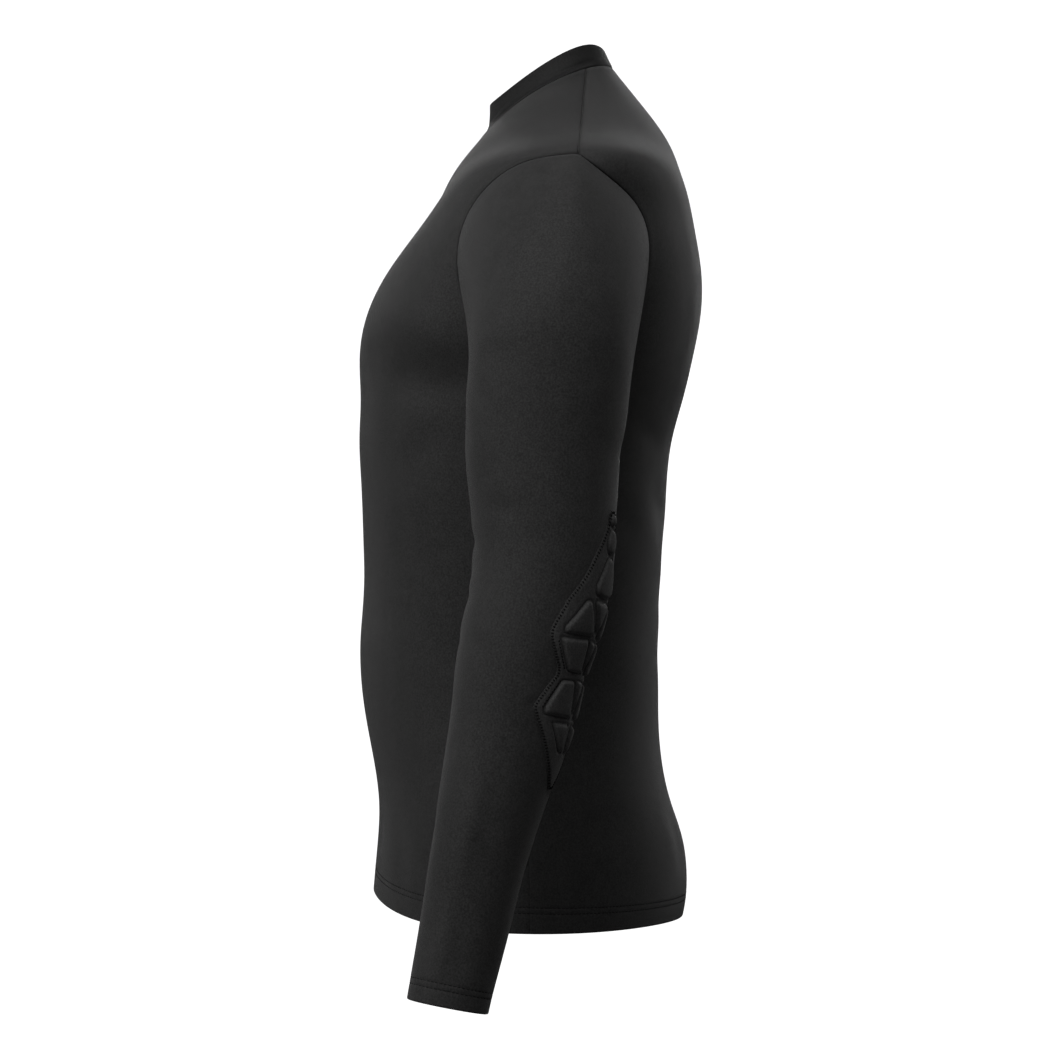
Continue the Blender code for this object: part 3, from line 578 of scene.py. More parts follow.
def panel_edge(at_back):
    """The left edge of a panel from the hem to the neck, as (angle, ring) at each row, and the armhole's rows. It
    runs up the side seam, round its half of the armhole, and in along the shoulder seam."""
    hem = hem_place(HEM_ROW_HEIGHTS)
    side = np.concatenate([hem, np.linspace(hem[-1], UNDERARM_RING, int(SIDE_SEAM_LENGTH / ROW_SPACING))[1:]])
    share = np.linspace(0.5, 0, int(HALF_ARMHOLE_LENGTH / ROW_SPACING) + 1)
    hole_angle, hole_ring = armhole_on_body(1 - share if at_back else share)
    hole_angle[[0, -1]] = np.pi / 2
    hole_ring[[0, -1]] = UNDERARM_RING, SHOULDER_RING
    near_neck = 1 - EDGE_STEPS / SHOULDER_SEAM_LENGTH
    seam_share = np.linspace(0, EVEN_SHOULDER_SHARE, int(SHOULDER_SEAM_LENGTH / ROW_SPACING))[1:-1]
    seam_share = np.concatenate([seam_share, near_neck])
    shoulder = SHOULDER_RING + (NECK_RING - SHOULDER_RING) * seam_share
    angles = np.linspace(np.radians(60), np.radians(150), CURVE_SAMPLES)
    seam_y = np.interp(shoulder, (SHOULDER_RING, NECK_RING), SHOULDER_SEAM_Y) * MM
    along_rings = body(angles, shoulder[:, None])[..., 1]
    found = np.argmax(along_rings > seam_y[:, None], axis=1)
    pick = np.arange(len(shoulder))
    low, high = along_rings[pick, found - 1], along_rings[pick, found]
    seam_angle = angles[found - 1] + (angles[1] - angles[0]) * (seam_y - low) / (high - low)
    angle = np.concatenate([np.full(len(side) - 1, np.pi / 2), hole_angle, seam_angle])
    ring = np.concatenate([side[:-1], hole_ring, shoulder])
    return angle, ring, slice(len(side) - 1, len(side) - 1 + len(hole_ring))

def panel_places(at_back):
    """Angles and rings of a half panel from its centre line to its left edge. Rows run straight from centre to
    edge, and their last points lie at fixed small steps from the seam."""
    edge_angle, edge_ring, hole = panel_edge(at_back)
    centre_ring = edge_ring.copy()
    centre_ring[hole] = np.linspace(UNDERARM_RING, SHOULDER_RING, hole.stop - hole.start)
    centre_angle = np.pi if at_back else 0.0
    slope_angle, slope_ring = edge_angle - centre_angle, edge_ring - centre_ring
    near = body(centre_angle + slope_angle * 0.999, centre_ring + slope_ring * 0.999)
    pace = length(body(edge_angle, edge_ring) - near) / 0.001
    last_steps = 1 - EDGE_STEPS / pace[:, None]
    across = np.concatenate([last_steps[:, :1] * np.linspace(0, 1, BODY_COLUMNS_ACROSS)[:-1], last_steps], axis=1)
    return centre_angle + slope_angle[:, None] * across, centre_ring[:, None] + slope_ring[:, None] * across, hole

def whole_panel(half, flip=(-1, 1, 1)):
    """A half panel's grid with its mirror image joined on at the centre line."""
    return np.concatenate([half[:, :0:-1] * np.array(flip), half], axis=1)

def body_panel(name, at_back):
    """The front or back panel: the body's surface with its creases, rolled in at every seam by the distance to it,
    grooved at the hem stitches and folded double below them."""
    angle, ring, hole = panel_places(at_back)
    surface = body(angle, ring)
    normal = normals_of(body, angle, np.minimum(ring, BELOW_NECK_RING))
    share = np.linspace(0.5, 0, hole.stop - hole.start)
    hole_points, hole_across, hole_shared = armhole_fold(1 - share if at_back else share)
    surface[hole, -1] = hole_points + hole_across * SEAM_LAP / 2
    from_side = distance_to(surface, surface[:hole.start, -1])
    seam = np.concatenate([hole_points, surface[hole.stop:, -1]])
    neck_points, neck_across, neck_shared = neck_fold(angle[-1])
    from_neck = distance_to(surface, neck_points)
    from_seam = distance_to(surface, seam)
    surface[-1] = neck_points + neck_across * SEAM_LAP / 2
    beside = np.r_[0:hole.start + 1, hole.stop - 1:len(surface)]
    surface[beside, -1] += unit(surface[beside, -1] - surface[beside, -2]) * SEAM_LAP / 2

    into_wall = normal.copy()
    into_wall[hole] = turned_in(normal[hole], hole_shared[:, None], from_seam[hole])
    into_wall = turned_in(into_wall, neck_shared, from_neck)

    height = np.interp(ring, hem_place(HEM_ROW_HEIGHTS), HEM_ROW_HEIGHTS, right=1.0)
    form = creased(surface, normal, BODY_CREASES)
    thickness, dip = turned_up(height, HEM_ROW_HEIGHTS[-2], HEM_STITCH_HEIGHTS)
    dip = dip + seam_dip(from_seam) + seam_dip(from_neck) + seam_dip(from_side) * SIDE_SEAM_SHARE
    # Painted shade along the seams, with their dark thread, weaker at the side seam.
    shade = np.maximum(seam_painted_shade(from_seam), seam_painted_shade(from_neck))
    shade = np.maximum(shade, seam_painted_shade(from_side) * SIDE_SEAM_SHARE)
    outer = form - into_wall * dip[..., None]
    inner = form - into_wall * thickness[..., None]

    radius = length(surface[..., :2]).mean(axis=1)
    v = np.interp(ring, ring[:, 0], walked(surface[:, 0]))
    u = (angle - angle[:, :1]) * np.interp(ring, ring[:, 0], radius)
    texture = whole_panel(np.stack([u, v], axis=-1), (-1, 1))
    shade = whole_panel(shade[..., None], (1,))[..., 0]
    return cloth_wall(name, whole_panel(outer), whole_panel(inner), texture, False, shirt_jersey, shade)


# Collar: a short stand of the same jersey, folded double over its rim and sewn on round the neck. The seam pulls a
# soft hollow into its base at each side.
COLLAR_CLOTH = 2.2 * MM
COLLAR_RIM = (-48.2, 43.6, 56, -2, -8, 20.3, 34.6, 12.6, 2)
COLLAR_HEIGHTS = (0.0, 0.14, 0.38, 0.7, 1.0)
COLLAR_INWARD_FRONT = (0.0, 0.5, 0.9, 1.0, 1.0)
COLLAR_INWARD_BACK = (0.0, 0.1, 0.34, 0.68, 1.0)
COLLAR_COLUMNS = 200
COLLAR_ROWS = 20
COLLAR_RIM_STEPS = 10
COLLAR_HOLLOW_INSIDE = 0.7
COLLAR_HOLLOW = 1.3 * MM
COLLAR_HOLLOW_ABOVE = 4.6 * MM
COLLAR_HOLLOW_REACH = 2.3 * MM
COLLAR_HOLLOW_ANGLES = np.radians((82, 52, 22))
# How dark the painted shade in the collar's hollow is drawn.
COLLAR_HOLLOW_SHADE = 0.45
COLLAR_TURN_UP = 8 * MM
COLLAR_RADIUS = 0.06
# The collar's jersey is drawn darker than the body's: painted shade, for the upright band that light from above
# reaches less.
COLLAR_SHADED_CHARCOAL = (0.0105, 0.0103, 0.0103)
collar_jersey_painted_shade = jersey("collar_jersey_painted_shade", COLLAR_SHADED_CHARCOAL, sheen=0.09, unevenness=0.5)

def collar(angle, height):
    """The collar's outer surface: the neck seam carried up to the rim, and in by its profile's share."""
    seam = body(angle, NECK_RING)
    rim = ring_point(np.array(COLLAR_RIM), angle)
    inward_front = np.interp(height, COLLAR_HEIGHTS, COLLAR_INWARD_FRONT)
    inward_back = np.interp(height, COLLAR_HEIGHTS, COLLAR_INWARD_BACK)
    inward = (inward_back + (inward_front - inward_back) * (1 + np.cos(angle)) / 2)[..., None]
    point = seam + (rim - seam) * inward
    point[..., 2] = seam[..., 2] + (rim - seam)[..., 2] * height
    return point

def neck_fold(angle):
    """Points of the neck seam, with the direction across it and the normal that body and collar share."""
    along = body(angle + 0.01, NECK_RING) - body(angle - 0.01, NECK_RING)
    rise = collar(angle, 0.1) - collar(angle, 0)
    return body(angle, NECK_RING), *mitre(along, normals_of(body, angle, BELOW_NECK_RING), rise)

def collar_band():
    """The band's section at every angle: up the outside, over the rim in half a circle, and down the inside."""
    angle = np.linspace(0, 2 * np.pi, COLLAR_COLUMNS, endpoint=False)
    tall = length(collar(angle, 1) - collar(angle, 0))
    top = 1 - COLLAR_CLOTH / 2 / tall
    low_steps = EDGE_STEPS[::-1, None] / tall
    share = low_steps[-1] + (top - low_steps[-1]) * np.linspace(0, 1, COLLAR_ROWS)[1:, None]
    height = np.concatenate([low_steps, share])
    around = np.broadcast_to(angle, height.shape)
    surface = collar(around, height)
    normal = normals_of(collar, around, np.clip(height, 0.02, 0.98))
    points, across, shared = neck_fold(angle)
    surface[0] = points - across * SEAM_LAP / 2
    above = length(surface - points)
    normal = turned_in(normal, shared, above)
    from_front = np.abs((around + np.pi) % (2 * np.pi) - np.pi)
    middle, reach, ease = COLLAR_HOLLOW_ANGLES
    side = smooth((reach - np.abs(from_front - middle)) / ease)
    hollow = COLLAR_HOLLOW * side * np.exp(-((above - COLLAR_HOLLOW_ABOVE) / COLLAR_HOLLOW_REACH) ** 2)
    outer = surface - normal * (seam_dip(above) + hollow)[..., None]
    thickness = CLOTH + (COLLAR_CLOTH - CLOTH) * smooth(above / COLLAR_TURN_UP) + COLLAR_HOLLOW_INSIDE * hollow
    inner = surface - normal * thickness[..., None]
    turn = np.linspace(0, np.pi, COLLAR_RIM_STEPS)[1:-1, None, None]
    centre, half = (outer[-1] + inner[-1]) / 2, (outer[-1] - inner[-1]) / 2
    upwards = unit(outer[-1] - outer[-2]) * length(half)[:, None]
    rim = centre + half * np.cos(turn) + upwards * np.sin(turn)
    points = np.concatenate([outer, rim, inner[::-1]])
    u = np.linspace(-np.pi, np.pi, COLLAR_COLUMNS + 1) * COLLAR_RADIUS
    texture = np.stack(np.broadcast_arrays(u, walked(points[:, 0])[:, None]), axis=-1)
    half_rows = len(points) // 2
    shade = np.zeros(points.shape[:2])
    # Painted shade at the neck seam, with its dark thread, and painted shade in the hollow above it.
    shade[:len(above)] = np.maximum(seam_painted_shade(above), COLLAR_HOLLOW_SHADE * hollow / COLLAR_HOLLOW)
    return cloth_wall("collar_band", points[:half_rows], points[:half_rows - 1:-1], texture[:half_rows], True,
                      collar_jersey_painted_shade, shade[:half_rows])

for word, flat, area in (("front", (0.46, 0.60), 0.205), ("back", (0.46, 0.64), 0.225)):
    panel = body_panel(word + "_panel", word == "back")
    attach(panel, "root")
    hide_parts(word + "_body")

collar_piece = collar_band()
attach(collar_piece, "root")
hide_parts("collar")


# Sleeves: each one tube of the same jersey, closed by a seam under the arm and set into the armhole with a cap.
# The lower edge is turned up as the cuff.

# Rings down the arm in millimetres: the centre's x, y and z, half_width and half_depth.
SLEEVE_RINGS = (
    (233, 1, -207, 52, 60.5),
    (236, -4, -261, 50.5, 59.4),
    (238.5, -6.4, -294, 49, 57.2),
    (241, -6, -326, 48, 54.4),
    (243.5, -6.6, -365, 47, 51.2),
    (246.5, -13, -405, 46.4, 49.8),
    (249.5, -23, -443.5, 44.4, 47),
    (252.5, -30, -483.5, 41.5, 44.2),
    (257, -40.6, -531, 37.5, 40.4),
    (262.5, -52.4, -580, 32.5, 35.8),
    (267, -62.6, -631, 28.5, 33),
    (271.5, -71.4, -672, 26, 31),
    (273.5, -76, -694.6, 25.4, 30.2),
)
SLEEVE_SQUARENESS = 2.1
SLEEVE_COLUMNS = 108
SLEEVE_ROWS = 148
SLEEVE_SAMPLES = 600
CAP_ROWS = 48
CAP_DROP_AT_UNDERARM = 1.1
CUFF_ROW_HEIGHTS = np.array([22, 18.5, 17.4, 16.7, 16.3, 16, 15.7, 15.3, 14.6, 13, 12.4, 12.0, 11.7, 11.4, 11, 10, 7,
                             4, 2.2, 1.3, 0.8, 0.4, 0]) * MM
CUFF_STITCH_HEIGHTS = np.array([11.7, 16.0]) * MM
SEAM_SHARES = np.array([0, 0.0012, 0.003, 0.0055, 0.009, 0.014, 0.021])
SLEEVE_CREASES = {
    "left": (
        (-20.5, -475.5, -8, -470, 0, 2.4, 1.1),
        (-74, -498, -72, -516, 1, 3, 0.8),
        (-50, -500, -76, -622, 3, 8, -1.5),
        (-74, -604, -90, -690, 3, 7, -1.4),
        (-52, -330, -18, -344, 5, 8, 0.8),
        (6, -172, 44, -204, -6, 12, 0.9),
        (-58, -206, -30, -246, 6, 12, 0.8),
        (-36, -120, 2, -96, 5, 12, 0.7),
        (-66, -420, -48, -446, 3, 6, 0.7),
        (-40, -690, -56, -640, -2, 5, 0.5),
    ),
    "front": (
        (224, -352, 262, -366, 3, 6, 1.3),
        (220, -372, 258, -384, -4, 7, 1.6),
        (228, -396, 268, -404, 3, 6, 1.2),
        (232, -420, 262, -432, -3, 6, 0.9),
        (206, -248, 244, -286, 5, 10, 1.0),
        (250, -540, 270, -592, 3, 6, 0.8),
    ),
    "back": (
        (216, -262, 256, -300, -6, 11, 1.1),
        (232, -560, 262, -618, 4, 7, 0.8),
    ),
    "right": (
        (-40, -300, 20, -326, 6, 11, 1.3),
        (-50, -352, -6, -372, -4, 8, 1.4),
        (-56, -392, -14, -404, 4, 7, 1.1),
        (-70, -520, -40, -560, 4, 8, 0.9),
    ),
}

def sleeve_tube(around, place):
    """The sleeve below its cap: ovals square to the arm, along a spline. Around is 0 outside and 0.25 in front."""
    values = spline(SLEEVE_RINGS, place)
    step = 0.01
    axis = unit((spline(SLEEVE_RINGS, place + step) - spline(SLEEVE_RINGS, place - step))[..., :3])
    sideways = unit(np.array([1.0, 0.0, 0.0]) - axis * axis[..., :1])
    backwards = np.cross(sideways, axis)
    forward, outward = oval(2 * np.pi * around, values[..., 4] * MM, values[..., 3] * MM, SLEEVE_SQUARENESS)
    return values[..., :3] * MM + sideways * outward[..., None] - backwards * forward[..., None]

def sleeve_start(around):
    """The place on the tube where the cap ends: lower next to the body than outside, by a cosine."""
    return CAP_DROP_AT_UNDERARM * (1 - np.cos(2 * np.pi * np.asarray(around))) / 2

def sleeve_cap(around, share):
    """The sleeve's cap: a Hermite curve from each point of the armhole to the top of the tube."""
    share = np.asarray(share, float)[..., None]
    one_row = around[0] if around.ndim == 2 and np.ptp(around, axis=0).max() == 0 else around
    top = np.broadcast_to(body(*armhole_on_body(one_row)), (*np.shape(around), 3))
    start = sleeve_start(around)
    bottom = sleeve_tube(around, start)
    reach = length(bottom - top)[..., None]
    leave = sleeve_leaving(around) * reach
    arrive = unit(sleeve_tube(around, start + 0.01) - bottom) * reach
    return ((2 * share**3 - 3 * share**2 + 1) * top + (share**3 - 2 * share**2 + share) * leave
            + (3 * share**2 - 2 * share**3) * bottom + (share**3 - share**2) * arrive)

def sleeve_lengths():
    """Distances down the arm from the first ring, and the places on the tube that they belong to."""
    places = np.linspace(0, len(SLEEVE_RINGS) - 1, SLEEVE_SAMPLES)
    centres = spline(SLEEVE_RINGS, places)[:, :3] * MM
    return walked(centres), places

def sleeve_grid():
    """A sleeve's outer points, normals, distances from the armhole, the cuff edge and the underarm seam, and places
    on the flat cloth. Columns start at the underarm seam and lie closer beside it."""
    middle = np.linspace(SEAM_SHARES[-1], 1 - SEAM_SHARES[-1], SLEEVE_COLUMNS)
    around = 0.5 + np.concatenate([SEAM_SHARES[:-1], middle, 1 - SEAM_SHARES[:0:-1]])
    cap_length = length(sleeve_tube(around, sleeve_start(around)) - body(*armhole_on_body(around)))
    steps = EDGE_STEPS[::-1, None] / cap_length
    share = np.concatenate([steps, steps[-1] + (1 - steps[-1]) * np.linspace(0, 1, CAP_ROWS)[1:, None]])
    cap_around = np.broadcast_to(around, share.shape)
    cap = sleeve_cap(cap_around, share)
    cap_normal = normals_of(sleeve_cap, cap_around, np.clip(share, 0.005, 0.985), 0.004)
    points, across, shared = armhole_fold(around)
    cap[0] = points - across * SEAM_LAP / 2
    from_hole = length(cap - points)
    cap_normal = turned_in(cap_normal, shared, from_hole)

    lengths, places = sleeve_lengths()
    first = np.interp(sleeve_start(around), places, lengths)
    last = lengths[-1] - CUFF_ROW_HEIGHTS[0]
    cuff = np.broadcast_to((lengths[-1] - CUFF_ROW_HEIGHTS)[:, None], (len(CUFF_ROW_HEIGHTS), len(around)))
    down = np.concatenate([first + (last - first) * np.linspace(0, 1, SLEEVE_ROWS)[1:-1, None], cuff])
    place = np.interp(down, lengths, places)
    tube_around = np.broadcast_to(around, place.shape)
    tube = sleeve_tube(tube_around, place)
    tube_normal = normals_of(sleeve_tube, tube_around, place)

    outer = np.concatenate([cap, tube])
    normal = np.concatenate([cap_normal, tube_normal])
    from_cuff = np.concatenate([np.full(cap.shape[:2], 1.0), lengths[-1] - down])
    from_hole = np.concatenate([from_hole, np.full(tube.shape[:2], 1.0)])
    girth = length(np.diff(np.concatenate([outer, outer[:, :1]], axis=1), axis=1)).sum(axis=1)
    v = -walked(outer[:, len(around) // 2])
    u = np.concatenate([around, [1.5]]) - 1.0
    texture = np.stack(np.broadcast_arrays(u * girth[:, None], v[:, None]), axis=-1)
    from_seam = (0.5 - np.abs(around - 1)) * girth[:, None]
    return outer, normal, from_hole, from_cuff, from_seam, texture

def sleeve(name, side):
    """One sleeve: its grid with creases, rolled in at the armhole, drawn in along the underarm seam, grooved at
    the cuff stitches and folded double below them."""
    surface, normal, from_hole, from_cuff, from_seam, texture = sleeve_grid()
    form = creased(surface, normal, SLEEVE_CREASES)
    thickness, dip = turned_up(from_cuff, CUFF_ROW_HEIGHTS[1], CUFF_STITCH_HEIGHTS)
    dip = dip + seam_dip(from_hole) + seam_dip(from_seam)
    # Painted shade along the armhole and underarm seams, with their dark thread.
    shade = np.maximum(seam_painted_shade(from_hole), seam_painted_shade(from_seam))
    outer = form - normal * dip[..., None]
    inner = form - normal * thickness[..., None]
    mirror = np.array([side, 1, 1])
    return cloth_wall(name, outer * mirror, inner * mirror, texture, True, shirt_jersey, shade)

for word, side in (("left", 1), ("right", -1)):
    piece = sleeve("sleeve_cloth_" + word, side)
    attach(piece, "root")
    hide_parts("sleeve_" + word)


# Elbow pads: a panel of the same jersey quilted over separate foam blocks and sewn flat on the back of the sleeve.
# The blocks stand proud between sewn channels.
PAD_TOP = 129 * MM
PAD_TURN = np.radians(20.5)
PAD_EDGE_HEIGHT = 0.9 * MM
MARGIN_PUFF = 0.7 * MM
MARGIN_SLOPE = 4
PAD_EDGE_ROLL_DEPTH = 0.7 * MM
EDGE_SEAM_INSET = 1.3
EDGE_SEAM_WIDTH = 1.0
EDGE_SEAM_DIP = 0.15 * MM
EDGE_STITCH_PITCH = 2.3
EDGE_STITCH_REACH = 0.95
EDGE_STITCH_SLANT = 0.15
SIDE_STITCH_REACH = 0.6
PAD_THREAD_SINK = -0.1 * MM
PAD_LIFT = 0.2 * MM
BLOCK_HEIGHT = 1.6 * MM
BLOCK_CROWN = 0.7 * MM
BLOCK_CROWN_REACH = 3.0
BLOCK_SHOULDER = 2.6
BLOCK_MARGIN = 0.5
CORNER_SOFTNESS = 0.8
CHANNEL_DEPTH = 0.75 * MM
CHANNEL_WIDTH = 0.6
CHANNEL_OUTSIDE = 0.25
# Painted shade in the sewn channels round each block and along the pad's rolled outline: how dark it is drawn and how
# far it reaches.
CHANNEL_SHADE = 0.5
PAD_EDGE_SHADE = 0.85
PAD_EDGE_SHADE_WIDTH = 0.45
# The pad's jersey is drawn lighter than the sleeve's: painted light, to make up for the shade over its blocks and
# channels.
PAD_LIT_CHARCOAL = (0.043, 0.0425, 0.0425)
PAD_LENGTH = 198.0
PAD_ROWS = 244
PAD_COLUMNS = 48
PAD_END_MARGIN = 1.8
PAD_END_STEPS = np.array([0, 0.3, 0.7, 1.2])
PAD_SIDE_STEPS = np.array([1.4, 0.9, 0.5, 0.2, 0.0])

# The pad's outline in millimetres, as (down, half_width) from its top point.
PAD_OUTLINE = ((0, 2.5), (2.2, 4.4), (6.8, 6.0), (11.2, 7.0), (13, 7.8), (22, 12.6), (31, 18), (41, 23), (50.5, 28.5),
               (56, 32), (62.5, 35.8), (78.8, 41), (82.6, 41.6), (86, 41.6), (89.2, 40.8), (108.6, 28), (112.2, 26.6),
               (117.4, 26.2), (121, 28), (141, 37.2), (144.8, 37), (149.6, 34), (153, 31.6), (165.5, 23),
               (170.5, 19.6), (184, 11), (198, 2.5))

# The foam blocks as (across, down) corners in millimetres. A side block is repeated on the other side.
MIDDLE_BLOCKS = (
    ((-1.6, 2.6), (1.6, 2.6), (4.2, 5), (4.4, 8.6), (2.4, 11), (-2.4, 11), (-4.4, 8.6), (-4.2, 5)),
    ((-3, 13.4), (3, 13.4), (6.6, 20.6), (6, 25.5), (3.4, 28.6), (-3.4, 28.6), (-6, 25.5), (-6.6, 20.6)),
    ((-3.8, 31.2), (3.8, 31.2), (13.4, 49.4), (12, 54.2), (5, 56.2), (-5, 56.2), (-12, 54.2), (-13.4, 49.4)),
    ((-10.8, 58.8), (10.8, 58.8), (0.8, 78), (-0.8, 78)),
    ((-4.6, 84.6), (4.6, 84.6), (0.6, 108), (-0.6, 108)),
    ((-5.4, 118.6), (5.4, 118.6), (0.7, 143), (-0.7, 143)),
)
SIDE_BLOCKS = (
    ((14.6, 60), (19.4, 59.4), (32, 80), (31.2, 84), (3.6, 80.6)),
    ((7.4, 84.2), (32.2, 88), (18, 111.6), (3.4, 111.6)),
    ((8.4, 119.4), (20.2, 120.4), (29.2, 142.6), (28.2, 146.8), (3.4, 146.8)),
    ((3, 151), (19.8, 152), (6.2, 170.6), (3, 170.6)),
)
# Seams beside the larger side blocks in millimetres: start_across, start_down, end_across and end_down.
SIDE_SEAMS = ((34, 90, 21.2, 111.2), (21.8, 120.2, 31.4, 143))

def on_elbow(across, down, height):
    """A point over the left elbow, from its place on the pad laid out flat and its height above the sleeve."""
    lengths, places = sleeve_lengths()
    place = np.interp(PAD_TOP + down, lengths, places)
    values = spline(SLEEVE_RINGS, place)
    radius = (values[..., 3] + values[..., 4]) / 2 * MM
    around = 0.75 + (PAD_TURN + across / radius) / (2 * np.pi)
    return sleeve_tube(around, place) + normals_of(sleeve_tube, around, place) * height[..., None]

def pad_outline(down):
    """The pad's half width in millimetres at a distance down it, its corners eased over 2 mm."""
    steps = np.linspace(-1, 1, 7)
    return np.interp(down[..., None] + steps, *np.array(PAD_OUTLINE).T).mean(axis=-1)

def inside_block(across, down):
    """How far inside the nearest block a place is, in millimetres: each block's soft least distance from its
    edges, -k log(sum of exp(-d / k)), which rounds its corners. The largest one counts."""
    deepest = np.full(across.shape, -50.0)
    mirrored = tuple(tuple((-x, y) for x, y in block[::-1]) for block in SIDE_BLOCKS)
    for block in MIDDLE_BLOCKS + SIDE_BLOCKS + mirrored:
        corners = np.array(block)
        runs = unit(np.roll(corners, -1, axis=0) - corners)
        inside = (down[..., None] - corners[:, 1]) * runs[:, 0] - (across[..., None] - corners[:, 0]) * runs[:, 1]
        least = inside.min(axis=-1, keepdims=True)
        soft = least[..., 0] - CORNER_SOFTNESS * np.log(np.exp((least - inside) / CORNER_SOFTNESS).sum(axis=-1))
        deepest = np.maximum(deepest, soft)
    return deepest

def block_rise(across, down):
    """The relief over the foam in metres: steep sides eased over a block's shoulder, a low crown inside, and a
    sewn channel that pulls the cloth down all round each block."""
    inside = inside_block(across, down)
    side = smooth((inside + BLOCK_MARGIN) / BLOCK_SHOULDER) * BLOCK_HEIGHT
    crown = BLOCK_CROWN * (1 - np.exp(-np.clip(inside, 0, None) / BLOCK_CROWN_REACH))
    channel = np.exp(-((inside + BLOCK_MARGIN + CHANNEL_OUTSIDE) / CHANNEL_WIDTH) ** 2)
    return side + crown - CHANNEL_DEPTH * channel

def pad_height(across, down):
    """The height of the pad's cloth over the sleeve in metres: rolled down at the outline, dipped at the edge seam,
    puffed over the margin and raised by the blocks. Also how far in from the outline, in millimetres."""
    from_edge = np.minimum(pad_outline(down) - np.abs(across), np.minimum(down, PAD_LENGTH - down))
    height = PAD_LIFT + PAD_EDGE_HEIGHT - rolled(from_edge * MM, EDGE_ROLL, PAD_EDGE_ROLL_DEPTH)
    height = height - EDGE_SEAM_DIP * np.exp(-((from_edge - EDGE_SEAM_INSET) / EDGE_SEAM_WIDTH) ** 2)
    return height + MARGIN_PUFF * smooth(from_edge / MARGIN_SLOPE) + block_rise(across, down), from_edge

# A lighter copy of the shirt's jersey: painted light.
pad_jersey_painted_light = jersey("pad_jersey_painted_light", PAD_LIT_CHARCOAL, sheen=0.15, unevenness=0.4)

def pad(name, side):
    """One elbow pad: a fine grid over the sleeve, raised by each block's rise and rolled down round its outline."""
    rows = np.linspace(PAD_END_MARGIN, PAD_LENGTH - PAD_END_MARGIN, PAD_ROWS)
    down = np.concatenate([PAD_END_STEPS, rows, PAD_LENGTH - PAD_END_STEPS[::-1]])
    width = pad_outline(down)
    edge = 1 - PAD_SIDE_STEPS / width[:, None]
    half = np.concatenate([edge[:, :1] * np.linspace(0, 1, PAD_COLUMNS)[:-1], edge], axis=1)
    across = np.concatenate([-half[:, :0:-1], half], axis=1) * width[:, None]
    down = np.broadcast_to(down[:, None], across.shape)
    height, from_edge = pad_height(across, down)
    # Painted shade: in the sewn channels round each block, and along the rolled outline.
    channel = np.exp(-((inside_block(across, down) + BLOCK_MARGIN) / CHANNEL_WIDTH) ** 2)
    rim = np.exp(-(from_edge / PAD_EDGE_SHADE_WIDTH) ** 2)
    shade = np.maximum(CHANNEL_SHADE * channel, PAD_EDGE_SHADE * rim)
    mirror = np.array([side, 1, 1])
    outer = on_elbow(across * MM, down * MM, height) * mirror
    inner = on_elbow(across * MM, down * MM, np.full(height.shape, PAD_LIFT)) * mirror
    texture = np.stack([across, down], axis=-1) * MM
    return cloth_wall(name, outer, inner, texture, False, pad_jersey_painted_light, shade)

for word, side in (("left", 1), ("right", -1)):
    piece = pad("pad_cloth_" + word, side)
    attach(piece, "root")
    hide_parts("elbow_pad_" + word)


# Sewing: black polyester thread. The hem and cuffs have two rows of plain stitches. Close stitches over the edge
# of each pad hold it down, and shorter ones run beside its larger blocks.
THREAD_RADIUS = 0.22 * MM
PAD_THREAD_RADIUS = 0.47 * MM
STITCH_LENGTH = 2.6 * MM
STITCH_GAP = 0.7 * MM
STITCH_SINK = 0.28 * MM
THREAD_SIDES = 6
THREAD_BLACK = (0.004, 0.004, 0.004)
THREAD_BUMP = 0.06 * MM
THREAD_GRAINS = 3200
THREAD_TONES = (0.7, 1.5)
THREAD_BUMP_STRENGTH = 0.5

def thread_finish(name, colour):
    """Spun thread: an uneven tone and a fine bump, both of one noise, with hardly any gloss."""
    material, nodes, links, shader = new_finish(name)
    fibres = noise(nodes, links, THREAD_GRAINS)
    links.new(two_tones(nodes, links, fibres, colour, (0, 1), THREAD_TONES), shader.inputs["Base Color"])
    raise_bump(nodes, links, fibres, THREAD_BUMP_STRENGTH, THREAD_BUMP, shader)
    shader.inputs["Roughness"].default_value = 0.7
    shader.inputs["Specular IOR Level"].default_value = 0.1
    return material

black_thread = thread_finish("black_thread", THREAD_BLACK)

def stitch_row(name, starts, ends, normals, slot, radius=THREAD_RADIUS):
    """A row of stitches: each is a short six-sided thread from its start to its end, arched by a sine and drawn
    into the cloth at both tips."""
    share = np.array([0, 0.12, 0.5, 0.88, 1])
    thick = np.array([0, 1, 1, 1, 0]) * radius
    rise = np.array([-0.6, 0.3, 1, 0.3, -0.6]) * radius
    along = ends - starts
    sideways = unit(np.cross(normals, along))
    upwards = unit(np.cross(along, sideways))
    turn = np.arange(THREAD_SIDES) * 2 * np.pi / THREAD_SIDES
    centres = starts[:, None] + along[:, None] * share[:, None] + upwards[:, None] * rise[:, None]
    round_them = (sideways[:, None, None] * np.cos(turn)[:, None] + upwards[:, None, None] * np.sin(turn)[:, None])
    points = centres[:, :, None] + round_them * thick[:, None, None]
    ring, step = np.meshgrid(np.arange(len(share) - 1) * THREAD_SIDES, np.arange(THREAD_SIDES), indexing="ij")
    after = (step + 1) % THREAD_SIDES
    low, high = ring, ring + THREAD_SIDES
    quads = np.stack([low + step, low + after, high + after, high + step], axis=-1).reshape(-1, 4)
    faces = (np.arange(len(starts))[:, None, None] * len(share) * THREAD_SIDES + quads).reshape(-1, 4)
    points = points.reshape(-1, 3)
    piece = fabric_mesh(name, points, faces, points[faces][..., [0, 2]], black_thread)
    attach(piece, "root")

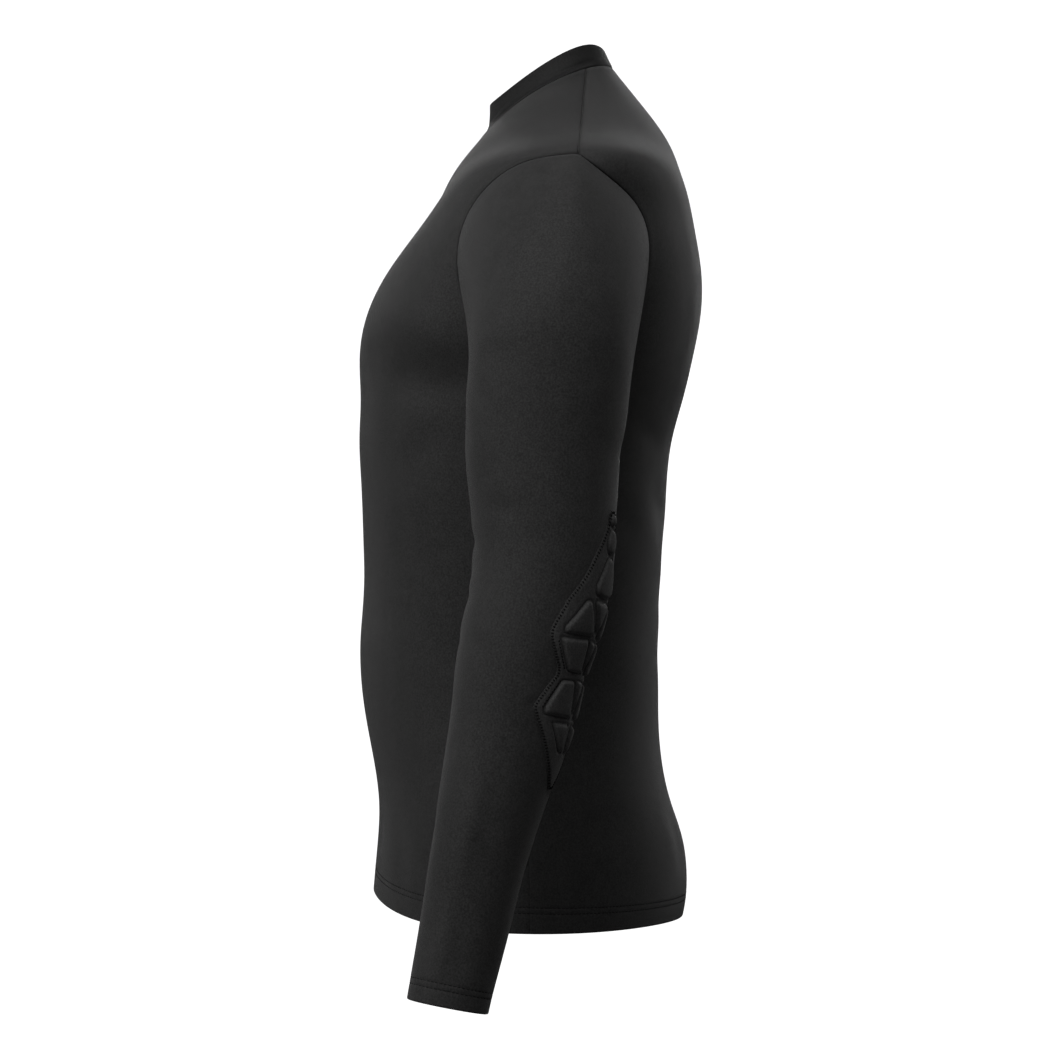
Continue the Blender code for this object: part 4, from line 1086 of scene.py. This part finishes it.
def evenly_along(line, pitch):
    """How far each point of a line lies along it, and the distances at which stitches of an even pitch start."""
    along = walked(line)
    count = int(along[-1] / pitch)
    return along, np.arange(count) * along[-1] / count

def joined(rows):
    """Several rows of stitches as one: all their starts, ends and normals."""
    return [np.concatenate(parts) for parts in zip(*rows)]

def round_stitches(surface, whole_turn, samples, level, creases):
    """Starts, ends and normals of one row of stitches round a surface, at one level of it."""
    around = np.linspace(0, whole_turn, samples)
    along, begin = evenly_along(surface(around, level), STITCH_LENGTH + STITCH_GAP)
    found = []
    for reach in (0, STITCH_LENGTH):
        at = np.interp(begin + reach, along, around)
        normal = normals_of(surface, at, level)
        found.append(creased(surface(at, level), normal, creases) - normal * STITCH_SINK)
    return *found, normal

def hem_stitches(height):
    """One row of hem stitches, at a height above the hem edge."""
    return round_stitches(body, 2 * np.pi, 2000, hem_place(height), BODY_CREASES)

def cuff_stitches(height):
    """One row of the left cuff's stitches, at a height above the cuff edge."""
    lengths, places = sleeve_lengths()
    return round_stitches(sleeve_tube, 1, 1000, np.interp(lengths[-1] - height, lengths, places), SLEEVE_CREASES)

def on_pad(across, down):
    """Points of thread on the left pad's cloth, and the normals there."""
    level = pad_height(across, down)[0] - PAD_THREAD_SINK
    points = on_elbow(across * MM, down * MM, level)
    return points, unit(on_elbow(across * MM, down * MM, level + MM) - points)

def pad_edge_stitches():
    """Starts, ends and normals of the close stitches that run square over a pad's edge seam, all round it. The
    thread goes back under the cloth."""
    down = np.linspace(1.5, PAD_LENGTH - 1.5, 1600)
    right = np.stack([np.maximum(pad_outline(down) - EDGE_SEAM_INSET, 0.5), down], axis=-1)
    line = np.concatenate([right, (right * np.array([-1, 1]))[::-1], right[:1]])
    along, begin = evenly_along(line, EDGE_STITCH_PITCH)
    middle = np.stack([np.interp(begin, along, line[:, 0]), np.interp(begin, along, line[:, 1])], axis=-1)
    run = unit(np.roll(middle, -1, axis=0) - np.roll(middle, 1, axis=0))
    half = np.stack([-run[:, 1], run[:, 0]], axis=-1) * EDGE_STITCH_REACH + run * EDGE_STITCH_SLANT
    start, normal = on_pad(*(middle - half).T)
    end, normal = on_pad(*(middle + half).T)
    return start, end, normal

def pad_side_stitches():
    """Starts, ends and normals of the small stitches square over the seams beside the larger side blocks."""
    found = []
    for start_across, start_down, end_across, end_down in SIDE_SEAMS:
        run = np.array([end_across - start_across, end_down - start_down])
        count = int(length(run) / EDGE_STITCH_PITCH)
        middle = np.array([start_across, start_down]) + run * (np.arange(count)[:, None] + 0.5) / count
        half = unit(np.array([-run[1], run[0]])) * SIDE_STITCH_REACH
        for flip in ((1, 1), (-1, 1)):
            start, normal = on_pad(*((middle - half) * flip).T)
            end, _ = on_pad(*((middle + half) * flip).T)
            found.append((start, end, normal))
    return joined(found)

stitch_row("hem_stitching", *joined(hem_stitches(height) for height in HEM_STITCH_HEIGHTS), "shirt_cloth")
cuff_rows = joined(cuff_stitches(height) for height in CUFF_STITCH_HEIGHTS)
pad_rows = joined((pad_edge_stitches(), pad_side_stitches()))
for word, side in (("left", 1), ("right", -1)):
    mirror = np.array([side, 1, 1])
    stitch_row("cuff_stitching_" + word, *(part * mirror for part in cuff_rows), "shirt_cloth")
    stitch_row("pad_stitching_" + word, *(part * mirror for part in pad_rows), "pad_cloth", PAD_THREAD_RADIUS)
